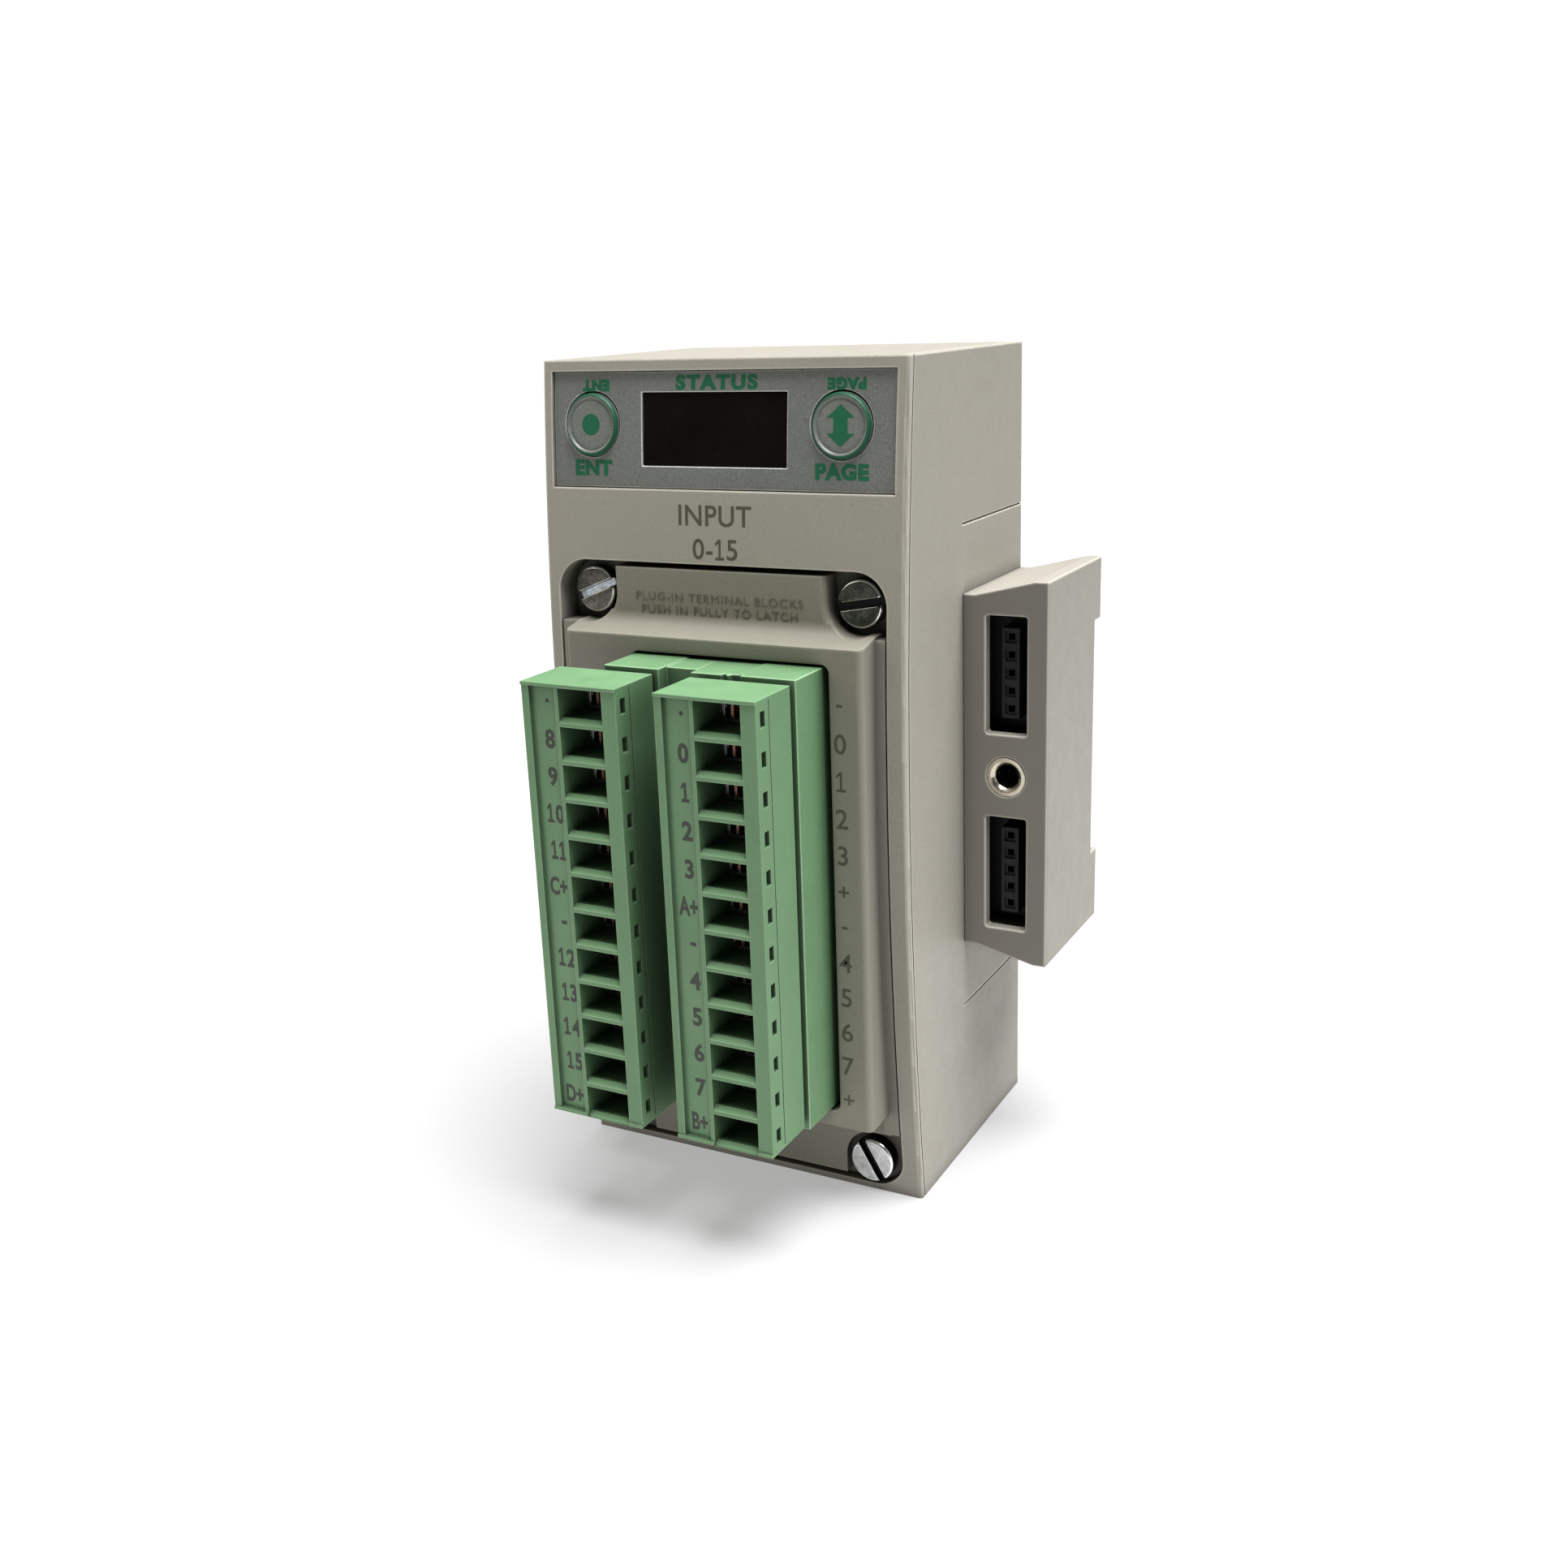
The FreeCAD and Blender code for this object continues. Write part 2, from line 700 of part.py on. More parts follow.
def plate_screws():
    """The four slotted screws that hold the terminal plate."""
    master = screw_master("plate_screw", size("screw_head_radius"), size("screw_head_height"),
                          size("screw_shank_radius") - 0.02, size("screw_length"), Size(1.1))
    seat = depth("plate_flange_front") - size("screw_head_height")
    screws("plate_screws", master, PLATE_SCREWS, seat, (35.0, -30.0, 68.0, 80.0))


def small_screws(name, places, seat, shank_radius, length):
    """Small slotted screws driven from behind: heads behind the seat, shanks towards the front."""
    head = Size(1.1)
    master = screw_master(f"{name}_one", shank_radius * 1.65, head, shank_radius, length, Size(0.5))
    turned = doc.addObject("Part::Feature", f"{name}_turned")
    doc.recompute()
    shape = master.Shape.copy()
    shape.rotate(FreeCAD.Vector(), FreeCAD.Vector(0, 0, 1), 180)
    turned.Shape = shape
    screws(name, turned, places, seat + head, (20.0, 65.0, -35.0, 0.0))


# ---------------------------------------------------------------- terminal plate and its board

def terminal_plate():
    """The screwed-on plate: a flange, a band at the top, a foot and the raised block between."""
    plate = Piece("terminal_plate_body")
    gap = size("plate_clearance")
    flange, back = depth("plate_flange_front"), depth("recess_depth")
    left, right = size("block_left"), size("block_right")
    plate.pad("XZ", flange, back, lambda o: o.rounded(
        size("recess_left") + gap, size("recess_right") - gap,
        size("recess_bottom") + gap, size("recess_top") - gap, size("recess_corner") - gap))
    face, top = depth("block_front"), size("block_top")
    shelf = top + size("ledge_rise")
    plate.pad("YZ", left, right, lambda o: o.loop([
        (face, size("block_bottom")),
        (face, top),
        (depth("band_front"), shelf),
        (flange + PROUD, shelf),
        (flange + PROUD, size("block_bottom")),
    ]))
    shoulder_low = size("block_bottom") - size("shoulder_drop")
    shoulder_high = size("plate_screw_high") - size("plate_screw_pocket")
    for a, b in ((size("recess_left") + gap, left + 1.0),
                 (right - 1.0, size("recess_right") - gap)):
        plate.pad("YZ", a, b, lambda o: o.loop(
            front_arc(shoulder_low, shoulder_high, size("shoulder_inset"))
            + [(flange + PROUD, shoulder_high), (flange + PROUD, shoulder_low)]))
    pocket_radius = size("plate_screw_pocket")
    low_left, low_right, high_left, high_right = [x for x, z in PLATE_SCREWS]
    high, low = size("plate_screw_high"), size("plate_screw_low")
    turn = "clockwise"
    plate.pad("XZ", depth("band_front"), flange + PROUD, lambda o: o.loop([
        (left, shelf - 1.0),
        (right, shelf - 1.0),
        (right, high - pocket_radius),
        (high_right, high - pocket_radius),
        (high_right - pocket_radius, high, pocket_radius, turn),
        (high_right - pocket_radius, size("band_top")),
        (high_left + pocket_radius, size("band_top")),
        (high_left + pocket_radius, high),
        (high_left, high - pocket_radius, pocket_radius, turn),
        (left, high - pocket_radius),
    ]))
    band = depth("band_front")
    plate.fillet(size("block_round"), band_end_edge(
        band.number, (shelf + PROUD).number,
        (high_left + pocket_radius).number, (high_right - pocket_radius).number))
    run, rise, reach = band - face, size("ledge_rise"), size("cove_reach")
    slope = (run * run + rise * rise).root()
    cove_y, cove_back = band - reach * run / slope, band + size("cove_bite")
    plate.pad("YZ", high_left, high_right, lambda o: o.loop([
        (cove_y, shelf - reach * rise / slope),
        (band, shelf + reach, reach * (slope + rise) / run, "counterclockwise"),
        (cove_back, shelf + reach),
        (cove_back, top),
        (cove_y, top),
    ]))
    for x in (high_left, high_right):
        plate.pocket("XZ", face - 1, flange, lambda o, x=x: o.circle((x, high), pocket_radius))
    plate.pad("XZ", depth("foot_front"), flange + PROUD, lambda o: o.loop([
        (low_left + pocket_radius, size("foot_bottom")),
        (low_right - pocket_radius, size("foot_bottom")),
        (low_right - pocket_radius, low),
        (low_right, low + pocket_radius, pocket_radius, turn),
        (right, low + pocket_radius),
        (right, size("block_bottom") + 0.5),
        (left, size("block_bottom") + 0.5),
        (left, low + pocket_radius),
        (low_left, low + pocket_radius),
        (low_left + pocket_radius, low, pocket_radius, turn),
    ]))
    wall = size("block_wall")
    inner_face = face + wall
    plate.pocket("XZ", inner_face, back + 1, lambda o: o.rectangle(
        left + wall, right - wall, size("block_bottom") + wall, top - 1.6))
    plate.pocket("XZ", face - 1, inner_face + 1, lambda o: o.rounded(
        size("port_left"), size("port_right"), size("port_bottom"), size("port_top"),
        size("port_corner")))
    for x in (left.number, right.number):
        plate.fillet(size("block_round"), upright_edge(x, face.number))
    posts = [rod(f"terminal_post{i}", "Y", (x, inner_face - 0.5, z), Size(1.45),
                 TERMINAL_BOARD - inner_face + 0.5) for i, (x, z) in enumerate(TERMINAL_POSTS)]
    holes = [rod(f"terminal_hole{i}", "Y", (x, inner_face + 0.2, z), Size(0.8), Size(4.0))
             for i, (x, z) in enumerate(TERMINAL_POSTS)]
    holes += [rod(f"plate_through{i}", "Y", (x, flange - 1, z),
                  size("screw_shank_radius") + 0.25, Size(4.0))
              for i, (x, z) in enumerate(PLATE_SCREWS)]
    solid = joined("terminal_plate_solid", [plate.body] + posts)
    return keep("terminal_plate", cut("terminal_plate", solid, holes))


def circuit_board(name, front, left, right, bottom, top, screw_places, hole, extra=()):
    """A rectangular board across the housing with its screw holes and any other holes."""
    board = Piece(f"{name}_body")
    board.pad("XZ", front, front + BOARD, lambda o: o.rounded(left, right, bottom, top, Size(1.0)))
    for x, z in screw_places:
        board.pocket("XZ", front - 1, front + BOARD + 1, lambda o, x=x, z=z: o.circle((x, z), hole))
    if not extra:
        return keep(name, board.body)
    return keep(name, cut(name, board.body, list(extra)))


def plug_right(side):
    """X of the right face of the left or the right plug."""
    return size("plug_right_x") - (size("plug_spacing") if side == "left" else zero())


def pin_x(side):
    return plug_right(side) - 4.0


def pole_holes(name, x, y, half):
    """Twelve square holes through a board or a header's floor, one at each pole."""
    return [block(f"{name}{pole}", (x - half, x + half), y,
                  (FIRST_POLE - PITCH * pole - half, FIRST_POLE - PITCH * pole + half))
            for pole in range(POLES)]


def header(side):
    """The fixed green half of one terminal strip: a shroud, and the foot beside it."""
    strip = Piece(f"header_{side}_body")
    right = plug_right(side) + 0.3
    left = right - size("shroud_width")
    low = size("shroud_middle") - size("shroud_height") * 0.5
    high = size("shroud_middle") + size("shroud_height") * 0.5
    front, back = depth("shroud_front"), depth("board_front")
    if side == "right":
        foot_left, foot_right, foot_front = left - 6.9, left + 1.0, front + 0.35
    else:
        foot_left, foot_right, foot_front = right - 1.0, right + 4.6, front + 2.1
    strip.pad("XZ", front, back, lambda o: o.rectangle(left, right, low, high))
    strip.pad("XZ", foot_front, back, lambda o: o.rectangle(foot_left, foot_right, low, high - 0.15))
    wall, floor = size("shroud_wall"), depth("shroud_floor")
    strip.pocket("XZ", front - 1, floor, lambda o: o.rectangle(
        left + wall, right - wall, low + wall, high - wall))
    if side == "right":
        for notch_left, notch_right in ((left - 2.4, left - 1.7), (left - 1.2, left + 0.5)):
            strip.pocket("XZ", front - 1, front + 1.0, lambda o, a=notch_left, b=notch_right:
                         o.rectangle(a, b, high - 1.6, high + 1))
    tools = pole_holes(f"header_{side}_pin_hole", pin_x(side), (floor - 1, back + 1),
                       size("pin_size") * 0.5)
    return keep(f"header_{side}", cut(f"header_{side}", strip.body, tools))


def header_pins(side):
    """Twelve square pins from inside the shroud through the terminal board."""
    half = size("pin_size") * 0.5
    x = pin_x(side)
    master = block(f"header_pin_{side}", (x - half, x + half),
                   (depth("shroud_front") + 2.6, TERMINAL_BOARD + BOARD + 1.4),
                   (FIRST_POLE - half, FIRST_POLE + half))
    return keep(f"header_pins_{side}", copies(f"header_pins_{side}", master, pole_spots()))


# ---------------------------------------------------------------- pull-off terminal plugs

def plug_body(side):
    """The moving green half: a block with twelve wire openings, a label band and a tongue."""
    plug = Piece(f"plug_{side}_body_work")
    right = plug_right(side)
    left = right - size("plug_width")
    low, high = size("pole_middle") - POLE_BAND, size("pole_middle") + POLE_BAND
    front, rear = depth("plug_front"), depth("plug_rear")
    face = front + 0.25
    plate = size("end_plate")
    plug.pad("XY", low + plate, high - plate, lambda o: o.loop([
        (left, face + 0.05),
        (left + 1.1, face + 0.05),
        (left + 1.1, face + 0.6),
        (right - size("wire_left") - 0.55, face + 0.42),
        (right - size("wire_left") - 0.55, face),
        (right, face),
        (right, rear),
        (left, rear),
    ]))
    for bottom, top in ((low, low + plate), (high - plate, high)):
        plug.pad("XY", bottom, top, lambda o: o.loop([
            (left, front + 0.1),
            (right - size("wire_left"), front),
            (right, front),
            (right, rear),
            (left, rear),
        ]))
    tongue_left, tongue_right = right - 7.05, right - 0.95
    plug.pad("XY", low + 0.75, high - 0.75, lambda o: o.rectangle(
        tongue_left, tongue_right, rear - 0.5, depth("tongue_rear")))
    plug.pocket("YZ", right - 0.3, right + 1, lambda o: o.rectangle(
        face + 3.2, face + 3.4, low + plate, high - plate))

    z = FIRST_POLE
    half = size("wire_height") * 0.5
    wire_left, wire_right = right - size("wire_left"), right - size("wire_right")
    clamp = depth("clamp_middle")
    wire_inner, wire_rear = wire_left + size("wire_taper"), depth("wire_rear")
    opening = plug.pocket("XY", z - half, z + half, lambda o: o.loop([
        (wire_left, front - 1),
        (wire_right, front - 1),
        (wire_right, wire_rear),
        (wire_inner, wire_rear),
        (wire_inner, clamp - 1.4),
        (wire_left, face + 0.3),
    ]))
    sill = plug.pocket("YZ", wire_left, wire_right, lambda o: o.loop([
        (face - 0.5, z - half + 0.3),
        (face + 0.75, z - half + 0.3),
        (face + 0.75, z - half),
        (face, z - half - 0.55),
        (face - 0.5, z - half - 0.55),
    ]))
    side_slot = plug.pocket("YZ", right - 0.9, right + 1, lambda o: o.rectangle(
        face + 1.05, face + 2.25, z - 1.0, z + 1.0))
    bore = plug.pocket("YZ", left - 1, wire_inner + 0.4, lambda o: o.circle(
        (clamp, z), Size(1.35)))
    chamber = plug.pocket("XZ", depth("wire_rear") - 0.5, depth("tongue_rear") + 1,
                          lambda o: o.rectangle(right - 6.1, right - 1.9, z - 1.55, z + 1.55))
    plug.repeat_down([opening, sill, side_slot, bore, chamber], POLES, PITCH)
    return keep(f"plug_body_{side}", plug.body)


def plug_metal(side):
    """Per pole: a rising clamp cage, its slotted screw, and the forked contact."""
    right, z = plug_right(side), FIRST_POLE
    rear, clamp = depth("wire_rear"), depth("clamp_middle")
    outer = block(f"cage_{side}_outer", (right - 7.8, right - 2.3), (clamp - 1.38, clamp + 1.35),
                  (z - 1.85, z + 1.85))
    window = block(f"cage_{side}_window", (right - 7.4, right - 2.7), (clamp - 2.0, clamp + 2.0),
                   (z - 1.4, z + 1.4))
    hole = rod(f"cage_{side}_hole", "X", (right - 8.5, clamp, z), Size(1.05), Size(2.0))
    cage = cut(f"cage_{side}", outer, [window, hole])
    keep(f"clamp_cages_{side}", copies(f"clamp_cages_{side}", cage, pole_spots()))

    left = right - size("plug_width")
    head = rod(f"clamp_head_{side}", "X", (left + 1.0, clamp, z), Size(1.3), Size(1.6))
    shank = rod(f"clamp_shank_{side}", "X", (left + 2.5, clamp, z), Size(1.0), Size(4.6))
    solid = joined(f"clamp_screw_solid_{side}", [head, shank])
    slot = block(f"clamp_slot_{side}", (left, left + 1.7), (clamp - 0.25, clamp + 0.25),
                 (z - 2.5, z + 2.5))
    screw = cut(f"clamp_screw_{side}", solid, [slot])
    keep(f"clamp_screws_{side}", copies(f"clamp_screws_{side}", screw, pole_spots()))

    base = block(f"contact_base_{side}", (right - 6.3, right - 2.75), (rear - 0.5, rear - 0.1),
                 (z - 1.2, z + 1.2))
    leaf_left = block(f"contact_leaf_a_{side}", (right - 5.3, right - 4.9),
                      (rear - 0.4, depth("tongue_rear") - 0.6), (z - 1.2, z + 1.2))
    leaf_right = block(f"contact_leaf_b_{side}", (right - 3.1, right - 2.7),
                       (rear - 0.4, depth("tongue_rear") - 0.6), (z - 1.2, z + 1.2))
    tab = block(f"contact_tab_{side}", (right - 6.3, right - 5.9), (clamp - 1.8, rear - 0.2),
                (z - 1.2, z + 1.2))
    contact = joined(f"contact_{side}", [base, leaf_left, leaf_right, tab])
    keep(f"contacts_{side}", copies(f"contacts_{side}", contact, pole_spots()))


# ---------------------------------------------------------------- display and keys

def curved_sheet(name, inset_front, inset_back, left, right, low, high):
    """A body between two surfaces concentric with the bowed front."""
    sheet_piece = Piece(name)
    sheet_piece.pad("YZ", left, right, lambda o: o.loop(
        front_arc(low, high, inset_front) + front_arc_down(low, high, inset_back)))
    return sheet_piece


def overlay_membrane():
    """The printed membrane in its recess, open at the display and round the two keys."""
    gap = 0.12
    back = size("overlay_depth") - 0.02
    front = size("overlay_depth") - size("overlay_thickness")
    membrane = curved_sheet("overlay_body", front, back,
                            size("overlay_left") + gap, size("overlay_right") - gap,
                            size("overlay_bottom") + gap, size("overlay_top") - gap)
    membrane.pocket("XZ", FRONT - 1, FRONT + 6, lambda o: o.rectangle(
        size("window_left"), size("window_right"), size("window_bottom"), size("window_top")))
    holes = [rod(f"{name}_opening", KEY_TURN, key_point(x, Size(-1.0)), size("key_radius") + 0.2,
                 Size(4.0)) for name, x in KEYS.items()]
    return keep("overlay_membrane", cut("overlay_membrane", membrane.body, holes))


def display_window():
    """The smoked lens that fills the display's opening."""
    gap = 0.08
    back = size("overlay_depth") + 1.1
    lens = curved_sheet("display_window", 0.75, back,
                        size("window_left") + gap, size("window_right") - gap,
                        size("window_bottom") + gap, size("window_top") - gap)
    return keep("display_window", lens.body)


def display_module():
    """Four-character display block on the display board, with a raised face behind the lens."""
    left, right = size("window_left") - 0.3, size("window_right") + 0.3
    low, high = size("window_bottom") - 0.4, size("window_top") + 0.4
    face = depth("chamber_front") + 0.3
    module = block("display_block", (left, right), (face, DISPLAY_BOARD), (low, high))
    trims = []
    for number in range(1, 4):
        x = left + (right - left) * (number * 0.25)
        trims.append(block(f"display_gap{number}", (x - 0.12, x + 0.12), (face - 1, face + 0.35),
                           (low - 1, high + 1)))
    return keep("display_module", cut("display_module", module, trims))


def key_parts():
    """Each key: the embossed cap with its stem, the switch's plunger, and the fixed switch."""
    for name, x in KEYS.items():
        radius = size("key_radius")
        cap = rod(f"{name}_cap", KEY_TURN, key_point(x, Size(-0.15)), radius, Size(1.4))
        doc.recompute()
        rim = doc.addObject("Part::Fillet", f"{name}_rim")
        rim.Base = cap
        rim.Edges = [(i, 0.5, 0.5) for i, edge in enumerate(cap.Shape.Edges, 1)
                     if is_outer_rim(edge, cap.Shape)]
        dish = rod(f"{name}_dish", KEY_TURN, key_point(x, Size(-1.0)), radius - 0.95, Size(1.0))
        stem = rod(f"{name}_stem", KEY_TURN, key_point(x, Size(1.2)), Size(1.5), Size(2.75))
        solid = joined(f"{name}_solid", [rim, stem])
        keep(f"{name}_key", cut(f"{name}_key", solid, [dish]))

        tip_y, tip_z = key_point(x, Size(3.97))[1:]
        switch_front = DISPLAY_BOARD - 3.5
        case = block(f"{name}_case", (x - 3, x + 3), (switch_front, DISPLAY_BOARD),
                     (tip_z - 3, tip_z + 3))
        well = rod(f"{name}_case_well", "Y", (x, switch_front - 1, tip_z), Size(1.85), Size(2.6))
        keep(f"{name}_switch", cut(f"{name}_switch", case, [well]))
        plunger = rod(f"{name}_plunger_rod", "Y", (x, tip_y + 0.18, tip_z), Size(1.6),
                      switch_front + 0.9 - tip_y - 0.18)
        keep(f"{name}_plunger", plunger)


def is_outer_rim(edge, shape):
    """True for the circle at the outer end of a key's cap."""
    middle = shape.BoundBox.Center
    return edge.Closed and (edge.CenterOfMass - middle).dot(KEY_INWARD) < -0.1


# ---------------------------------------------------------------- boards and what they carry

def boxes(name, y, spots):
    """Separate plain blocks in one node: each spot is (left, right, bottom, top)."""
    items = [block(f"{name}{i}", (Size(a), Size(b)), y, (Size(c), Size(d)))
             for i, (a, b, c, d) in enumerate(spots)]
    return keep(name, grouped(name, items))


def boards():
    pins = pole_holes("terminal_board_left", pin_x("left"), (TERMINAL_BOARD - 1, TERMINAL_BOARD + 3),
                      size("pin_size") * 0.5)
    pins += pole_holes("terminal_board_right", pin_x("right"),
                       (TERMINAL_BOARD - 1, TERMINAL_BOARD + 3), size("pin_size") * 0.5)
    circuit_board("terminal_board", TERMINAL_BOARD, Size(-20.2), Size(20.9), Size(15.2), Size(78.4),
                  TERMINAL_POSTS, Size(1.1), pins)
    bus_slots = []
    middle = size("socket_x") - WIDTH
    for name, z in SOCKETS.items():
        bus_slots += pin_row_holes(f"main_board_{name}", middle, z, MAIN_BOARD)
    circuit_board("main_board", MAIN_BOARD, Size(-25.3), Size(25.2), Size(10.0), Size(90.0),
                  BOARD_POSTS, Size(1.5), bus_slots)
    circuit_board("display_board", DISPLAY_BOARD, Size(-25.2), Size(25.0), Size(93.4), Size(114.6),
                  DISPLAY_POSTS, Size(1.2))
    clip_holes = []
    for name, z in SOCKETS.items():
        clip_holes += pin_row_holes(f"clip_board_{name}", size("socket_x"), z, CLIP_BOARD)
    circuit_board("clip_board", CLIP_BOARD, Size(17.0), Size(37.6), Size(38.0), Size(79.4),
                  (), Size(1.0), clip_holes)


def pin_row(name, x, z, y, half=0.32):
    """Five square pins in a column, a socket pitch apart."""
    pitch = size("socket_pitch")
    return [block(f"{name}{i}", (x - half, x + half), y,
                  (z + pitch * (2 - i) - half, z + pitch * (2 - i) + half)) for i in range(5)]


def pin_row_holes(name, x, z, board):
    return pin_row(f"{name}_hole", x, z, (board - 1, board + BOARD + 1))


def board_screws():
    small_screws("terminal_board_screws", TERMINAL_POSTS, TERMINAL_BOARD + BOARD, Size(0.8), Size(3.6))
    small_screws("main_board_screws", BOARD_POSTS, MAIN_BOARD + BOARD, Size(1.15), Size(6.0))
    small_screws("display_board_screws", DISPLAY_POSTS, DISPLAY_BOARD + BOARD, Size(0.9), Size(4.5))


def board_parts():
    """The larger components on the main board, and the connectors between the boards."""
    back = MAIN_BOARD + BOARD
    boxes("input_couplers", (back, back + 2.3), [
        (-10.0 + 8.0 * i, -5.4 + 8.0 * i, z, z + 10.2) for i in range(3) for z in (14.0, 27.0)])
    boxes("logic_chips", (back, back + 1.4), [(-8.0, 2.0, 60.0, 70.0), (6.0, 13.0, 62.0, 69.0)])
    cans = [rod(f"capacitor{i}", "Y", (Size(x), back, Size(z)), Size(4.0), Size(10.5))
            for i, (x, z) in enumerate(((-6.0, 80.5), (4.0, 80.5)))]
    keep("smoothing_capacitors", grouped("smoothing_capacitors", cans))

    front = TERMINAL_BOARD + BOARD
    boxes("terminal_link_header", (front, front + 2.5), [(1.0, 6.1, 36.0, 56.4)])
    boxes("terminal_link_socket", (MAIN_BOARD - 8.5, MAIN_BOARD), [(1.0, 6.1, 36.0, 56.4)])
    link = [block(f"link_pin{row}_{column}", (Size(x - 0.32), Size(x + 0.32)),
                  (front + 2.5, MAIN_BOARD - 8.5), (Size(z - 0.32), Size(z + 0.32)))
            for column, x in enumerate((2.28, 4.82))
            for row, z in enumerate([37.31 + 2.54 * i for i in range(8)])]
    keep("terminal_link_pins", grouped("terminal_link_pins", link))
    boxes("clip_link", (back, CLIP_BOARD), [(18.0, 24.0, 46.0, 66.0)])


def display_link():
    """The angled pins that join the display board to the main board below it."""
    across, top, behind = (Size(-7.0), Size(7.0)), Size(96.6), MAIN_BOARD + BOARD
    low = block("display_link_low", across, (DISPLAY_BOARD + BOARD, behind), (Size(93.6), top))
    foot = block("display_link_foot", across, (behind, behind + 2.5), (Size(86.5), top))
    return keep("display_link", joined("display_link", [low, foot]))


# ---------------------------------------------------------------- bus clip and bay

def bus_clip():
    """The dovetail block on the right side: windows for two sockets and a threaded insert."""
    clip = Piece("bus_clip_body_work")
    front, wall = size("clip_front"), size("clip_wall")
    profile = clip_profile(RIGHT, zero())
    clip.pad("XZ", front, BACK, lambda o: o.loop(profile))
    inner_right = RIGHT + size("clip_width") - wall
    low, high = size("clip_root_bottom") + wall, size("clip_root_top") - wall
    clip.pocket("YZ", RIGHT - 1, inner_right, lambda o: o.loop([
        (front + size("socket_recess"), low),
        (front + size("socket_recess"), high),
        (BACK - wall, high),
        (BACK - wall, SLOT_HIGH + wall),
        (SLOT_FRONT - wall, SLOT_HIGH + wall),
        (SLOT_FRONT - wall, SLOT_LOW - wall),
        (BACK - wall, SLOT_LOW - wall),
        (BACK - wall, low),
    ]))
    clip.pocket("YZ", RIGHT - 1, RIGHT + size("clip_width") + 1, lambda o: o.rectangle(
        SLOT_FRONT, BACK + 1, SLOT_LOW, SLOT_HIGH))
    x = size("socket_x")
    for z in SOCKETS.values():
        clip.pocket("XZ", front - 1, front + size("socket_recess") + 1, lambda o, z=z: o.rounded(
            x - size("socket_window_width") * 0.5, x + size("socket_window_width") * 0.5,
            z - size("socket_window_height") * 0.5, z + size("socket_window_height") * 0.5,
            Size(0.4)))
    insert_post = rod("insert_post", "Y", (x, front + 0.5, size("insert_z")), Size(4.4),
                      size("insert_length") - 0.5)
    posts = [rod(f"clip_post{i}", "X", (RIGHT, y, z), Size(1.9), size("clip_width") - 1.0)
             for i, (y, z) in enumerate(CLIP_SCREWS)]
    holes = [rod("insert_bore", "Y", (x, front - 1, size("insert_z")), size("insert_outer_radius"),
                 size("insert_length") + 2)]
    holes += [rod(f"clip_pilot{i}", "X", (RIGHT - 1, y, z), Size(1.2), Size(7.5))
              for i, (y, z) in enumerate(CLIP_SCREWS)]
    solid = joined("bus_clip_solid", [clip.body, insert_post] + posts)
    return keep("bus_clip", cut("bus_clip", solid, holes))


def clip_insert():
    """The brass M4 insert in the clip's front."""
    front = size("clip_front")
    centre = (size("socket_x"), front, size("insert_z"))
    outer = rod("insert_outer", "Y", centre, size("insert_outer_radius"), size("insert_length"))
    bore = rod("insert_thread", "Y", (centre[0], front - 1, centre[2]),
               size("insert_thread_radius"), size("insert_length") + 2)
    doc.recompute()
    lead = doc.addObject("Part::Chamfer", "insert_lead")
    hollow = cut("insert_hollow", outer, [bore])
    doc.recompute()
    lead.Base = hollow
    lead.Edges = [(i, 0.55, 0.55) for i, edge in enumerate(hollow.Shape.Edges, 1)
                  if edge.Closed and abs(edge.BoundBox.YMax - front.number) < NEAR
                  and edge.BoundBox.XLength < 4.0]
    return keep("clip_insert", lead)


def bus_sockets():
    """Two black five-way sockets behind the clip's windows, and their contacts."""
    x, front = size("socket_x"), size("clip_front") + size("socket_recess")
    pitch = size("socket_pitch")
    for name, z in SOCKETS.items():
        strip = block(f"socket_{name}_strip", (x - 1.27, x + 1.27), (front + 0.05, CLIP_BOARD),
                      (z - pitch * 2.5, z + pitch * 2.5))
        base = block(f"socket_{name}_base", (x - 5.6, x + 2.9), (front + 3.4, CLIP_BOARD),
                     (z - 8.1, z + 8.1))
        solid = joined(f"socket_{name}_solid", [base, strip])
        holes = pin_row(f"socket_{name}_mouth", x, z, (front - 1, front + 5.0), half=0.45)
        holes += pin_row(f"socket_{name}_lead", x, z, (front - 1, front + 0.45), half=0.8)
        tails = pin_row(f"socket_{name}_tail", x, z, (front + 4.9, CLIP_BOARD + 1), half=0.32)
        keep(f"bus_socket_{name}", cut(f"bus_socket_{name}", solid, holes + tails))
        pins = pin_row(f"bus_contact_{name}", x, z, (front + 5.0, CLIP_BOARD + BOARD + 1.2))
        keep(f"bus_contacts_{name}", grouped(f"bus_contacts_{name}", pins))


def bus_pins():
    """The bay's two five-pin strips, which enter the neighbour's sockets."""
    x = size("socket_x") - WIDTH
    bay_front = size("clip_front") - size("bay_clearance")
    back = MAIN_BOARD + BOARD
    for name, z in SOCKETS.items():
        strip = block(f"bus_strip_{name}_block", (x - 1.05, x + 1.05), (back, bay_front + 1.2),
                      (z - 6.1, z + 6.1))
        tunnels = pin_row(f"bus_strip_{name}_tunnel", x, z, (back - 1, bay_front + 3))
        keep(f"bus_strip_{name}", cut(f"bus_strip_{name}", strip, tunnels))
        pins = pin_row(f"bus_pin_{name}", x, z, (MAIN_BOARD - 1.2, bay_front + 6.4))
        keep(f"bus_pins_{name}", grouped(f"bus_pins_{name}", pins))


